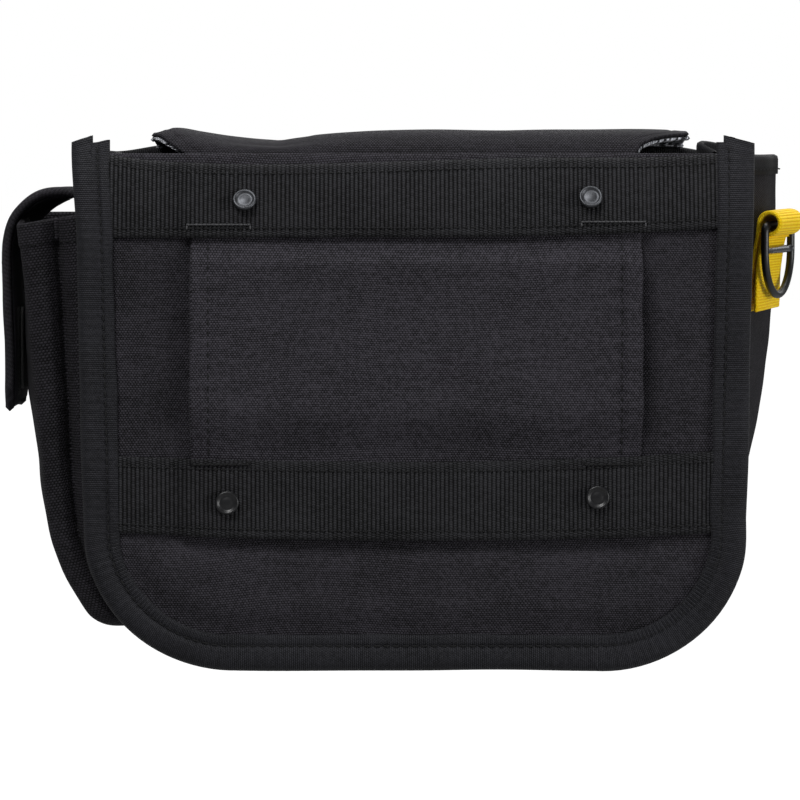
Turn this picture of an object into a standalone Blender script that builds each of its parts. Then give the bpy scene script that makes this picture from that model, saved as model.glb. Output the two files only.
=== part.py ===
"""Electrician tool pouch worn on a waist belt.

The pouch hangs with its back to the wearer: +X is its right side seen from behind, +Y points
away from the wearer and +Z is up.  The origin is the middle of the tunnel that the belt runs
through.  Lengths are millimetres and angles degrees; new_object() turns a finished mesh into
metres.
"""

import math

import bmesh
import bpy
from mathutils import Matrix, Vector

MM = 0.001

# Cloth and clearances
GAP = 0.4
FABRIC = 1.2
LINING = 1.0
SHELL = 1.4
TAPE = 0.8
PATCH = 1.2

# Outline of the back: straight sides, round lower corners
TOP_HALF_WIDTH = 107.0
BASE_HALF_WIDTH = 104.5
BACK_TOP = 64.6
CORNER_RADIUS = 47.0
CORNER_Z = -53.6
CORNER_X = BASE_HALF_WIDTH - CORNER_RADIUS

# The top of the back leans away from the wearer
LEAN_START = 30.0
LEAN_RATE = 0.00814
LEAN_STEP = 6.0
LEAN_LEVELS = [LEAN_START + LEAN_STEP * i for i in range(7)]

# Layers of the back, from the wearer's side
TUNNEL_HALF_HEIGHT = 31.0
SLEEVE_OUTER = -4.1
PANEL_Y = 2.7
STIFFENER_Y = PANEL_Y + FABRIC + GAP
LINING_Y = STIFFENER_Y + FABRIC + GAP
LINING_FRONT = LINING_Y + LINING
PANEL_INSET = 1.3
PANEL_TOP = 60.0

BINDING_WIDTH = 11.0
BINDING_TOP = 66.0

WEBBING_WIDTH = 25.1
WEBBING_THICKNESS = 1.8
WEBBING_Z = 47.35
UPPER_WEBBING_REACH = 95.3
LOWER_WEBBING_REACH = 92.2
WEBBING_OUTER = PANEL_Y - GAP - WEBBING_THICKNESS
SLEEVE_HEM_OUTER = PANEL_Y - GAP - SHELL
WEBBING_OVER_SLEEVE = SLEEVE_HEM_OUTER - GAP - WEBBING_THICKNESS
SLEEVE_HALF_WIDTH = 70.5

# Rivets
UPPER_RIVET = (54.5, 47.5)
LOWER_RIVET = (58.0, -47.0)
RIVET_CAP_RADIUS = 3.7
RIVET_POST_RADIUS = 1.5
RIVET_HOLE_RADIUS = 1.9
RIVET_BASE_RADIUS = 4.0
ROUND_STEPS = 18

# Gusset and front
GUSSET_INSET = BINDING_WIDTH + 0.7
GUSSET_BACK = LINING_FRONT + 0.5
GUSSET_FRONT = 80.0
GUSSET_TOP = 62.0
GUSSET_FULLEST = 0.76
LEFT_BULGE = 12.0
RIGHT_BULGE_LOW = 11.0
RIGHT_BULGE_HIGH = 21.5
BULGE_TOP_Z = 55.0
BULGE_GROWTH = 3.0
BOTTOM_BULGE = 5.0
FRONT_Y = GUSSET_FRONT + GAP
FRONT_FACE = FRONT_Y + FABRIC
PIPING_RADIUS = 1.6

# Front pockets
POCKET_DEPTH = 10.0
POCKET_BACK = FRONT_FACE + GAP
POCKET_FACE = POCKET_BACK + POCKET_DEPTH
POCKET_SIDE = 90.0
POCKET_MIDDLE = 1.5
POCKET_BOTTOM = -86.0
POCKET_TOP = 22.0
POCKET_CORNER = 34.0

# Main flap
FLAP_TOP_Z = 70.0
FLAP_ROOT_Y = 16.9
FLAP_ROOT_LEFT = -69.6
FLAP_ROOT_RIGHT = 68.0
FLAP_LEFT = -84.6
FLAP_RIGHT = 88.0
FLAP_WIDENS_OVER = 13.0
FLAP_FRONT_LINING = 95.0
FLAP_FRONT_SHELL = FLAP_FRONT_LINING + LINING + GAP
FLAP_FRONT_TOP = 62.5
FLAP_FRONT_BOTTOM = -34.0
FLAP_CORNER = 22.0
FLAP_LIFT_AXIS = (0.0, 15.5, 63.5)
FLAP_FOLD_AXIS = (0.0, 99.5, 64.0)

# Zipped pocket on the flap
ZIP_Y = FLAP_FRONT_SHELL + SHELL + GAP
ZIP_Z = 48.0
ZIP_HALF_TAPE = 4.0
ZIP_LEFT = -72.0
ZIP_RIGHT = 75.0
SLIDER_X = -58.0
PULL_PIN_Y = ZIP_Y + 6.2
PULL_AXIS = (SLIDER_X, PULL_PIN_Y, ZIP_Z)

# Side pocket and its flap, on the left
SIDE_POCKET_TOP = 41.0
SIDE_POCKET_REACH_TOP = 18.3
SIDE_POCKET_REACH_LOW = 12.5
SIDE_POCKET_SHUT_TURN = 27.0
SIDE_POCKET_END_TURN = 51.0
SIDE_FLAP_AXIS = (-110.0, 0.0, 50.0)
SIDE_FLAP_NEAR = 22.0
SIDE_FLAP_FAR = 68.0
SIDE_PATCH_NEAR = 32.0
SIDE_PATCH_FAR = 60.0

# Webbing tab and ring, on the right
TAB_TURN = math.radians(20.8)
TAB_ACROSS = Vector((math.sin(TAB_TURN), math.cos(TAB_TURN), 0.0))
TAB_OUT = Vector((math.cos(TAB_TURN), -math.sin(TAB_TURN), 0.0))
TAB_BASE = Vector((109.6, 47.5, 0.0))
TAB_WIDTH = 25.4
TAB_THICKNESS = 1.5
TAB_BOTTOM = 12.0
RING_OUT = 8.0
RING_Z = 38.2
RING_AXIS = TAB_BASE + TAB_OUT * RING_OUT + Vector((0.0, 0.0, RING_Z))
ROLL_RADIUS = 4.1
RING_HALF_WIDTH = 14.3
RING_WIRE = 1.5
RING_BAR = 1.1
RING_LEG = 8.0

# Name: (colour, roughness, metallic)
MATERIALS = {
    "black_fabric": ((0.026, 0.024, 0.030, 1.0), 0.80, 0.0),
    "black_tape": ((0.015, 0.015, 0.017, 1.0), 0.75, 0.0),
    "heather_lining": ((0.190, 0.190, 0.205, 1.0), 0.90, 0.0),
    "stiffener_board": ((0.060, 0.060, 0.060, 1.0), 0.60, 0.0),
    "yellow_webbing": ((0.640, 0.360, 0.018, 1.0), 0.65, 0.0),
    "gunmetal": ((0.160, 0.160, 0.170, 1.0), 0.35, 1.0),
    "black_metal": ((0.012, 0.012, 0.013, 1.0), 0.30, 1.0),
    "hook_and_loop": ((0.010, 0.010, 0.011, 1.0), 0.95, 0.0),
    "zip_plastic": ((0.018, 0.018, 0.020, 1.0), 0.45, 0.0),
}


# ---------------------------------------------------------------- helpers

def clear_scene():
    """Remove every object, so that the script gives the same scene each time."""
    for obj in list(bpy.data.objects):
        bpy.data.objects.remove(obj, do_unlink=True)


def make_material(name):
    """The Principled material of one entry of MATERIALS, made once."""
    found = bpy.data.materials.get(name)
    if found:
        return found
    colour, roughness, metallic = MATERIALS[name]
    made = bpy.data.materials.new(name)
    made.use_nodes = True
    shader = made.node_tree.nodes["Principled BSDF"]
    shader.inputs["Base Color"].default_value = colour
    shader.inputs["Roughness"].default_value = roughness
    shader.inputs["Metallic"].default_value = metallic
    return made


def new_object(name, bm, material, smooth_angle=None):
    """An object in metres from a bmesh in millimetres."""
    bmesh.ops.scale(bm, vec=(MM, MM, MM), verts=bm.verts[:])
    mesh = bpy.data.meshes.new(name)
    bm.to_mesh(mesh)
    bm.free()
    mesh.materials.append(make_material(material))
    if smooth_angle:
        mesh.shade_smooth()
        mesh.set_sharp_from_angle(angle=math.radians(smooth_angle))
    obj = bpy.data.objects.new(name, mesh)
    bpy.context.scene.collection.objects.link(obj)
    return obj


def prism(outline, axis, low, high):
    """A closed solid: an outline (u, v) stretched along X, Y or Z from low to high."""
    place = {
        "X": lambda u, v, w: Vector((w, u, v)),
        "Y": lambda u, v, w: Vector((u, w, v)),
        "Z": lambda u, v, w: Vector((u, v, w)),
    }[axis]
    bm = bmesh.new()
    base = bm.faces.new([bm.verts.new(place(u, v, low)) for u, v in outline])
    grown = bmesh.ops.extrude_face_region(bm, geom=[base])
    moved = [item for item in grown["geom"] if isinstance(item, bmesh.types.BMVert)]
    bmesh.ops.translate(bm, verts=moved, vec=place(0.0, 0.0, high - low))
    bmesh.ops.recalc_face_normals(bm, faces=bm.faces[:])
    return bm


def box(x_range, y_range, z_range):
    """A closed block from three ranges."""
    left, right = x_range
    low, high = z_range
    outline = [(left, low), (right, low), (right, high), (left, high)]
    return prism(outline, "Y", *y_range)


def sweep(profile, frames, closed=False):
    """A closed solid: a profile (a, b) carried along frames (origin, a axis, b axis)."""
    bm = bmesh.new()
    rings = []
    for origin, across, along in frames:
        rings.append([bm.verts.new(origin + across * a + along * b) for a, b in profile])
    pairs = list(zip(rings, rings[1:]))
    if closed:
        pairs.append((rings[-1], rings[0]))
    count = len(profile)
    for first, second in pairs:
        for i in range(count):
            j = (i + 1) % count
            bm.faces.new((first[i], first[j], second[j], second[i]))
    if not closed:
        bm.faces.new(rings[0])
        bm.faces.new(rings[-1])
    bmesh.ops.recalc_face_normals(bm, faces=bm.faces[:])
    return bm


def circle(radius, steps=8):
    """The points of a round profile."""
    turns = [2.0 * math.pi * i / steps for i in range(steps)]
    return [(radius * math.cos(turn), radius * math.sin(turn)) for turn in turns]


def lathe(profile, matrix):
    """A round solid: a profile (radius, height) turned about local Z, then placed by matrix."""
    bm = bmesh.new()
    verts = [bm.verts.new((radius, 0.0, height)) for radius, height in profile]
    edges = [bm.edges.new(pair) for pair in zip(verts, verts[1:])]
    bmesh.ops.spin(bm, geom=verts + edges, cent=(0, 0, 0), axis=(0, 0, 1),
                   angle=2.0 * math.pi, steps=ROUND_STEPS, use_merge=True)
    bmesh.ops.remove_doubles(bm, verts=bm.verts[:], dist=1e-4)
    bmesh.ops.transform(bm, matrix=matrix, verts=bm.verts[:])
    bmesh.ops.recalc_face_normals(bm, faces=bm.faces[:])
    return bm


def grid(rows):
    """An open sheet through rows of points."""
    bm = bmesh.new()
    made = [[bm.verts.new(point) for point in row] for row in rows]
    for upper, lower in zip(made, made[1:]):
        for i in range(len(upper) - 1):
            bm.faces.new((upper[i], upper[i + 1], lower[i + 1], lower[i]))
    return bm


def thicken(obj, thickness, offset):
    """Give a sheet its thickness: offset 1 along its normals, -1 against them."""
    solidify = obj.modifiers.new("Thickness", "SOLIDIFY")
    solidify.thickness = thickness * MM
    solidify.offset = offset
    solidify.use_even_offset = True
    return obj


def ribbon(points, low, high):
    """Outline of a strip that runs along points, from low to high on their left side."""
    line = [Vector(point) for point in points]
    sides = [(b - a).normalized() for a, b in zip(line, line[1:])]
    normals = [Vector((-side.y, side.x)) for side in sides]
    mitres = [normals[0]]
    for before, after in zip(normals, normals[1:]):
        half = (before + after).normalized()
        mitres.append(half / half.dot(after))
    mitres.append(normals[-1])
    near = [point + mitre * low for point, mitre in zip(line, mitres)]
    far = [point + mitre * high for point, mitre in zip(line, mitres)]
    return [tuple(point) for point in near + far[::-1]]


def arc(centre, radius, start, end, steps):
    """Points (u, v) of a circular arc between two angles."""
    turns = [math.radians(start + (end - start) * i / steps) for i in range(steps + 1)]
    return [(centre[0] + radius * math.cos(t), centre[1] + radius * math.sin(t)) for t in turns]


def boolean(obj, other, operation):
    """Join the other object to this one, or cut it away, and keep the other as a guide."""
    other.hide_render = True
    other.display_type = "WIRE"
    modifier = obj.modifiers.new(operation.title(), "BOOLEAN")
    modifier.operation = operation
    modifier.solver = "EXACT"
    modifier.object = other


def joint_empty(name, axis_point, pieces):
    """An empty on a joint's axis, with the pieces that turn or slide there as its children."""
    pivot = Vector(axis_point) * MM
    empty = bpy.data.objects.new(name, None)
    empty.location = pivot
    bpy.context.scene.collection.objects.link(empty)
    for piece in pieces:
        piece.data.transform(Matrix.Translation(-pivot))
        piece.parent = empty
    return empty


# ---------------------------------------------------------------- shared shapes

def lean(z):
    """How far the back stands forward at height z."""
    return LEAN_RATE * max(0.0, z - LEAN_START) ** 2


def lean_forward(bm):
    """Bend a flat layer of the back along the lean, with the same bands in every layer."""
    for level in LEAN_LEVELS:
        parts = bm.verts[:] + bm.edges[:] + bm.faces[:]
        bmesh.ops.bisect_plane(bm, geom=parts, plane_co=(0, 0, level), plane_no=(0, 0, 1))
    for vert in bm.verts:
        vert.co.y += lean(vert.co.z)
    return bm


def half_width(z):
    """Half the width of the back above its corners."""
    rise = (z - CORNER_Z) / (BACK_TOP - CORNER_Z)
    return BASE_HALF_WIDTH + rise * (TOP_HALF_WIDTH - BASE_HALF_WIDTH)


def corner_point(turn):
    """A point of the right lower corner and its outward normal, turn 0 to 90 degrees."""
    nx = math.cos(math.radians(turn))
    nz = -math.sin(math.radians(turn))
    return CORNER_X + CORNER_RADIUS * nx, CORNER_Z + CORNER_RADIUS * nz, nx, nz


def u_path(top, side_steps=6, arc_steps=8):
    """The back's outline (x, z, normal x, normal z) from left top to right top."""
    right = []
    for i in range(side_steps):
        z = top + (CORNER_Z - top) * i / side_steps
        right.append((half_width(z), z, 1.0, 0.0))
    for i in range(arc_steps + 1):
        right.append(corner_point(90.0 * i / arc_steps))
    left = [(-x, z, -nx, nz) for x, z, nx, nz in right]
    return left + right[::-1]


def inset_outline(inset, top):
    """The closed outline of a back layer, inset from the edge and cut off at the top."""
    return [(x - nx * inset, z - nz * inset) for x, z, nx, nz in u_path(top)]


def gusset_bulge(x, z, nz):
    """How far the gusset swells past its seam at its fullest, at one point of the outline."""
    side = LEFT_BULGE
    if x > 0.0:
        rise = min(1.0, max(0.0, (z - CORNER_Z) / (BULGE_TOP_Z - CORNER_Z)))
        fullness = 1.0 - (1.0 - rise) ** BULGE_GROWTH
        side = RIGHT_BULGE_LOW + fullness * (RIGHT_BULGE_HIGH - RIGHT_BULGE_LOW)
    return side + (BOTTOM_BULGE - side) * max(0.0, -nz)


def gusset_shape(s):
    """The swell's course from the back seam (0) to the front seam (1)."""
    if s < GUSSET_FULLEST:
        return s / GUSSET_FULLEST
    past = (s - GUSSET_FULLEST) / (1.0 - GUSSET_FULLEST)
    return 1.0 - 0.4 * past ** 2


def gusset_point(path_point, s, out=0.0):
    """A point on the gusset's outer face, or at a distance out from it."""
    x, z, nx, nz = path_point
    offset = gusset_bulge(x, z, nz) * gusset_shape(s) - GUSSET_INSET + out
    back = GUSSET_BACK + lean(z)
    return Vector((x + nx * offset, back + (GUSSET_FRONT - back) * s, z + nz * offset))


def gusset_offset_at(path_point, y):
    """How far the gusset's outer face stands outside the outline at a depth y."""
    x, z, _, nz = path_point
    back = GUSSET_BACK + lean(z)
    s = min(1.0, max(0.0, (y - back) / (GUSSET_FRONT - back)))
    return gusset_bulge(x, z, nz) * gusset_shape(s) - GUSSET_INSET


def rim_profile(wall):
    """Section of a tape folded over a wall's top edge; the wall's outer face is at 0."""
    outer = GAP + TAPE
    inner = -wall - GAP - TAPE
    leg = -5.0
    return [(outer, leg), (outer, outer), (inner, outer), (inner, leg),
            (inner + TAPE, leg), (inner + TAPE, GAP), (GAP, GAP), (GAP, leg)]


# ---------------------------------------------------------------- back

def build_back_layers():
    """The back panel, the board inside it and its lining."""
    layers = [
        ("back_panel", PANEL_INSET, PANEL_TOP, PANEL_Y, FABRIC, "black_fabric"),
        ("back_stiffener", BINDING_WIDTH + 1.0, PANEL_TOP - 3.0, STIFFENER_Y, FABRIC,
         "stiffener_board"),
        ("back_lining", PANEL_INSET, PANEL_TOP, LINING_Y, LINING, "black_fabric"),
    ]
    made = []
    for name, inset, top, back, thickness, material in layers:
        layer = prism(inset_outline(inset, top), "Y", back, back + thickness)
        made.append(new_object(name, lean_forward(layer), material))
    return made


def build_back_binding():
    """The tape folded round the back's edge, open to the inside."""
    back = PANEL_Y - GAP - TAPE
    front = LINING_FRONT + 0.5 + TAPE
    profile = [(0.0, back), (-BINDING_WIDTH, back), (-BINDING_WIDTH, back + TAPE),
               (-TAPE, back + TAPE), (-TAPE, front - TAPE), (-BINDING_WIDTH, front - TAPE),
               (-BINDING_WIDTH, front), (0.0, front)]
    frames = []
    for x, z, nx, nz in u_path(BINDING_TOP):
        frames.append((Vector((x, 0.0, z)), Vector((nx, 0.0, nz)), Vector((0.0, 1.0, 0.0))))
    return new_object("back_binding", lean_forward(sweep(profile, frames)), "black_tape")


def build_belt_sleeve():
    """The panel that the belt passes behind: flat, then down to its hems under the webbings."""
    hem = WEBBING_Z + WEBBING_WIDTH / 2.0 - 4.0
    ramp_end = WEBBING_Z - WEBBING_WIDTH / 2.0 - 0.5
    half = [(SLEEVE_OUTER, TUNNEL_HALF_HEIGHT), (SLEEVE_HEM_OUTER, ramp_end),
            (SLEEVE_HEM_OUTER, hem)]
    line = [(y, -z) for y, z in half[::-1]] + half
    outline = ribbon(line, -SHELL, 0.0)
    sleeve = prism(outline, "X", -SLEEVE_HALF_WIDTH, SLEEVE_HALF_WIDTH)
    return new_object("belt_sleeve", lean_forward(sleeve), "black_fabric")


def build_webbings():
    """The two flat straps that hold the sleeve's hems, stepped where the sleeve ends."""
    step_in = SLEEVE_HALF_WIDTH + 1.0
    step_out = SLEEVE_HALF_WIDTH + 5.5
    half = WEBBING_WIDTH / 2.0
    made = []
    for name, middle, reach in (("upper_webbing", WEBBING_Z, UPPER_WEBBING_REACH),
                                ("lower_webbing", -WEBBING_Z, LOWER_WEBBING_REACH)):
        right = [(step_in, WEBBING_OVER_SLEEVE), (step_out, WEBBING_OUTER), (reach, WEBBING_OUTER)]
        line = [(-x, y) for x, y in right[::-1]] + right
        outline = ribbon(line, 0.0, WEBBING_THICKNESS)
        strap = prism(outline, "Z", middle - half, middle + half)
        made.append(new_object(name, lean_forward(strap), "black_tape"))
    return made


def rivet_matrix(x, z):
    """Places a rivet on the webbing: its local +Z points out of the back."""
    slope = 2.0 * LEAN_RATE * max(0.0, z - LEAN_START)
    place = Matrix.Translation((x, WEBBING_OVER_SLEEVE + lean(z), z))
    return place @ Matrix.Rotation(math.radians(90.0) - math.atan(slope), 4, "X")


def build_rivets(layers):
    """Four rivets: a domed cap outside, a post with its foot inside, and their holes."""
    cap = [(0.0, 1.5), (RIVET_HOLE_RADIUS, 1.5), (RIVET_HOLE_RADIUS, 0.3), (RIVET_CAP_RADIUS, 0.3),
           (RIVET_CAP_RADIUS, 1.0), (3.2, 1.6), (2.0, 2.15), (0.0, 2.4)]
    for place, x, z in (("upper_left", -UPPER_RIVET[0], UPPER_RIVET[1]),
                        ("upper_right", *UPPER_RIVET),
                        ("lower_left", -LOWER_RIVET[0], LOWER_RIVET[1]),
                        ("lower_right", *LOWER_RIVET)):
        matrix = rivet_matrix(x, z)
        metal = "gunmetal" if z > 0.0 else "black_metal"
        new_object("rivet_cap_" + place, lathe(cap, matrix), metal, 40)
        stack = (LINING_FRONT - WEBBING_OVER_SLEEVE) * matrix.col[2].xyz.dot((0.0, -1.0, 0.0))
        foot = -stack - 0.5
        post = [(0.0, 1.2), (RIVET_POST_RADIUS, 1.2), (RIVET_POST_RADIUS, foot),
                (RIVET_BASE_RADIUS, foot), (RIVET_BASE_RADIUS, foot - 0.5), (0.0, foot - 1.1)]
        new_object("rivet_post_" + place, lathe(post, matrix), metal, 40)
        hole = [(0.0, 3.0), (RIVET_HOLE_RADIUS, 3.0), (RIVET_HOLE_RADIUS, foot - 2.0),
                (0.0, foot - 2.0)]
        cutter = new_object("hole_" + place, lathe(hole, matrix), metal)
        for layer in layers:
            is_webbing = layer.name.endswith("webbing")
            if not is_webbing or layer.name.startswith(place[:5]):
                boolean(layer, cutter, "DIFFERENCE")


# ---------------------------------------------------------------- body

def build_gusset():
    """The wall between back and front, swelling outward at the sides."""
    stations = [0.0, 0.19, 0.38, 0.57, 0.68, GUSSET_FULLEST, 0.85, 0.93, 1.0]
    rows = [[gusset_point(point, s) for s in stations]
            for point in u_path(GUSSET_TOP, side_steps=7)]
    gusset = new_object("gusset", grid(rows), "black_fabric", 50)
    return thicken(gusset, FABRIC, -1.0)


def front_outline(out=0.0):
    """The front's outline (x, z): the gusset's front seam."""
    points = [gusset_point(point, 1.0, out) for point in u_path(GUSSET_TOP, side_steps=7)]
    return [(point.x, point.z) for point in points]


def build_front():
    """The front panel and the piping round its seam."""
    new_object("front_panel", prism(front_outline(), "Y", FRONT_Y, FRONT_FACE), "black_fabric")
    depth = Vector((0.0, 1.0, 0.0))
    height = (FRONT_Y + FRONT_FACE) / 2.0 - 0.2
    frames = []
    for point in u_path(GUSSET_TOP - 3.0, side_steps=7):
        centre = gusset_point(point, 1.0, PIPING_RADIUS + 0.3)
        frames.append((Vector((centre.x, height, centre.z)), Vector((point[2], 0.0, point[3])),
                       depth))
    new_object("front_piping", sweep(circle(PIPING_RADIUS), frames), "black_tape", 60)


def build_mouth_tapes():
    """The tapes folded over the mouth's two side edges and its front edge."""
    stations = [0.05, 0.19, 0.38, 0.57, 0.68, GUSSET_FULLEST, 0.85, 0.93, 0.965]
    for name, side in (("mouth_tape_left", -1.0), ("mouth_tape_right", 1.0)):
        top = (side * half_width(GUSSET_TOP), GUSSET_TOP, side, 0.0)
        below = (side * half_width(BULGE_TOP_Z), BULGE_TOP_Z, side, 0.0)
        frames = []
        for s in stations:
            ahead = gusset_point(top, s + 0.01) - gusset_point(top, s - 0.01)
            along = (gusset_point(top, s) - gusset_point(below, s)).normalized()
            across = along.cross(ahead).normalized() * -side
            frames.append((gusset_point(top, s), across, along))
        new_object(name, sweep(rim_profile(FABRIC), frames), "black_tape")
    section = [(FRONT_FACE + a, GUSSET_TOP + b) for a, b in rim_profile(FABRIC)]
    outline = front_outline()
    front = prism(section, "X", outline[0][0] + 4.0, outline[-1][0] - 4.0)
    new_object("mouth_tape_front", front, "black_tape")


def tray(name, outline, inner, y_range, floor, material):
    """A patch pocket: walls and one face, open to its panel and at the top."""
    shell = new_object(name, prism(outline, "Y", *y_range), material)
    hollow = new_object(name + "_hollow", prism(inner, "Y", *floor), material)
    boolean(shell, hollow, "DIFFERENCE")
    return shell


def front_pocket_outline(side, inset, top):
    """A front pocket's outline on one side, with its round outer lower corner."""
    centre = (POCKET_SIDE - POCKET_CORNER, POCKET_BOTTOM + POCKET_CORNER)
    corner = arc(centre, POCKET_CORNER - inset, -90.0, 0.0, 7)
    points = [(POCKET_MIDDLE + inset, top), (POCKET_MIDDLE + inset, POCKET_BOTTOM + inset)]
    points += corner + [(POCKET_SIDE - inset, top)]
    return [(side * x, z) for x, z in points]


def build_front_pockets():
    """Two patch pockets on the front, with a taped mouth and a soft fastener patch each."""
    inside = POCKET_MIDDLE + FABRIC + 0.6
    outside = POCKET_SIDE - FABRIC - 0.6
    section = [(POCKET_FACE + a, POCKET_TOP + b) for a, b in rim_profile(FABRIC)]
    for name, side in (("left", -1.0), ("right", 1.0)):
        tray("front_pocket_" + name, front_pocket_outline(side, 0.0, POCKET_TOP),
             front_pocket_outline(side, FABRIC, POCKET_TOP + 8.0),
             (POCKET_BACK, POCKET_FACE), (POCKET_BACK - 1.0, POCKET_FACE - FABRIC), "black_fabric")
        span = sorted((side * inside, side * outside))
        new_object("front_pocket_tape_" + name, prism(section, "X", *span), "black_tape")
        patch = box(sorted((side * 20.0, side * 70.0)), (POCKET_FACE + GAP, POCKET_FACE + PATCH),
                    (-28.0, 8.0))
        new_object("front_loop_patch_" + name, patch, "hook_and_loop")


def build_inner_pocket():
    """A slip pocket inside, on the back lining, with a taped mouth."""
    half, low, top, corner = 50.0, -84.0, 15.0, 10.0
    back, face = LINING_FRONT + 0.5, LINING_FRONT + 10.0

    def outline(inset, height):
        centre = (half - corner, low + corner)
        right = arc(centre, corner - inset, -90.0, 0.0, 4) + [(half - inset, height)]
        return right + [(-x, z) for x, z in right[::-1]]

    tray("inner_pocket", outline(0.0, top), outline(LINING, top + 8.0), (back, face),
         (back - 1.0, face - LINING), "black_fabric")
    section = [(face + a, top + b) for a, b in rim_profile(LINING)]
    reach = half - LINING - 0.6
    new_object("inner_pocket_tape", prism(section, "X", -reach, reach), "black_tape")


def build_tool_loops():
    """One strap inside the front, standing off it in three loops for tool shanks."""
    thickness, pitch, half_loop, depth = 1.6, 34.0, 13.0, 14.0
    flat = FRONT_Y - GAP
    line = [(-pitch * 1.5, flat)]
    for middle in (-pitch, 0.0, pitch):
        line += [(middle - half_loop, flat), (middle - half_loop + 1.5, flat - depth),
                 (middle + half_loop - 1.5, flat - depth), (middle + half_loop, flat)]
    line.append((pitch * 1.5, flat))
    strap = prism(ribbon(line, -thickness, 0.0), "Z", 20.0, 45.0)
    new_object("tool_loop_webbing", strap, "black_tape")


# ---------------------------------------------------------------- side pocket

def side_pocket_rows():
    """The side pocket's rows from mouth to bottom: path point, reach outward, closing 0 to 1."""
    rows = []
    for z in (SIDE_POCKET_TOP, 26.0, 12.0, -2.0, -16.0, -30.0, -42.0, CORNER_Z):
        rise = (z - CORNER_Z) / (SIDE_POCKET_TOP - CORNER_Z)
        extra = SIDE_POCKET_REACH_TOP - SIDE_POCKET_REACH_LOW
        reach = SIDE_POCKET_REACH_LOW + extra * rise ** 0.75
        rows.append(((-half_width(z), z, -1.0, 0.0), reach, 0.0))
    for turn in (9.0, 18.0, SIDE_POCKET_SHUT_TURN, 33.0, 39.0, 45.0, SIDE_POCKET_END_TURN):
        x, z, nx, nz = corner_point(turn)
        past = max(0.0, turn - SIDE_POCKET_SHUT_TURN)
        closing = past / (SIDE_POCKET_END_TURN - SIDE_POCKET_SHUT_TURN)
        reach = SIDE_POCKET_REACH_LOW - 3.0 * min(1.0, turn / SIDE_POCKET_SHUT_TURN)
        rows.append(((-x, z, -nx, nz), reach, closing))
    return rows


def side_pocket_crown(z):
    """How far the pocket's outer face swells in the middle: most behind the fastener."""
    if z > -16.0:
        return 3.9 - 3.2 * (z + 16.0) / (SIDE_POCKET_TOP + 16.0)
    return max(0.5, 3.9 - 3.4 * (-16.0 - z) / 45.0)


def build_side_pocket():
    """A gathered pocket on the left wall: a creased rear wall, an outer face and a front wall."""
    rear, front = 13.5, 77.8
    # Each column: share of the way out, depth, depth once the bottom has closed, share of crown
    columns = [(0.0, rear, rear, 0.0), (0.25, 12.6, 14.8, 0.0), (0.45, 13.0, 16.1, 0.0),
               (0.58, 18.0, 17.4, 0.0), (0.72, 13.0, 18.7, 0.0), (0.93, 14.5, 20.0, 0.0),
               (1.0, 19.0, 22.0, 0.0), (1.0, 32.0, 33.0, 0.75), (1.0, 46.0, 46.0, 1.0),
               (1.0, 60.0, 60.0, 0.75), (1.0, 72.0, 70.0, 0.0), (0.93, 76.5, 74.0, 0.0),
               (0.0, front, front, 0.0)]
    rows = []
    for path_point, reach, closing in side_pocket_rows():
        x, z, nx, nz = path_point
        shut = closing ** 2
        row = []
        for share, open_y, shut_y, crown_share in columns:
            y = open_y + (shut_y - open_y) * shut
            wall = gusset_offset_at(path_point, y) + 0.6
            crown = side_pocket_crown(z) * crown_share * (1.0 - shut)
            offset = wall + (reach - wall) * share * (1.0 - shut) + FABRIC * 1.1 * shut + crown
            row.append(Vector((x + nx * offset, y, z + nz * offset)))
        rows.append(row)
    pocket = new_object("side_pocket", grid(rows), "black_fabric")
    thicken(pocket, FABRIC, -1.0)
    new_object("side_pocket_loop_patch", box((-126.2, -125.2), (SIDE_PATCH_NEAR, SIDE_PATCH_FAR),
                                             (-14.0, 12.0)), "hook_and_loop")


def build_side_flap():
    """The strap that folds over the side pocket's mouth and closes on its outer face."""
    level = (-half_width(SIDE_FLAP_AXIS[2]), SIDE_FLAP_AXIS[2] - 1.0, -1.0, 0.0)
    depths = [SIDE_FLAP_NEAR + 1.0, 34.0, 45.0, 56.0, 61.0, SIDE_FLAP_FAR - 1.0]
    root = [(level[0] - gusset_offset_at(level, y) - 0.7, y) for y in depths]
    outline = root + [(-108.0, depths[-1]), (-108.0, depths[0])]
    new_object("side_flap_anchor", prism(outline, "Z", 47.5, 50.5), "black_fabric")
    line = [(-110.5, 51.2), (-117.3, 51.9), (-121.7, 50.2), (-126.5, 46.4), (-129.3, 42.4),
            (-130.8, 36.0), (-131.5, 28.0), (-131.5, 8.0), (-131.2, -18.5)]
    inner = SHELL + 0.3
    layers = [("side_flap_shell", 0.0, SHELL, "black_fabric"),
              ("side_flap_lining", inner, inner + LINING, "black_fabric")]
    pieces = []
    for name, low, high, material in layers:
        strip = prism(ribbon(line, low, high), "Y", SIDE_FLAP_NEAR, SIDE_FLAP_FAR)
        pieces.append(new_object(name, strip, material))
    hook = box((-128.3, -126.6), (SIDE_PATCH_NEAR, SIDE_PATCH_FAR), (-16.0, 12.0))
    pieces.append(new_object("side_flap_hook_patch", hook, "hook_and_loop"))
    joint_empty("side_flap_pivot", SIDE_FLAP_AXIS, pieces)


# ---------------------------------------------------------------- tab and ring

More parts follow.
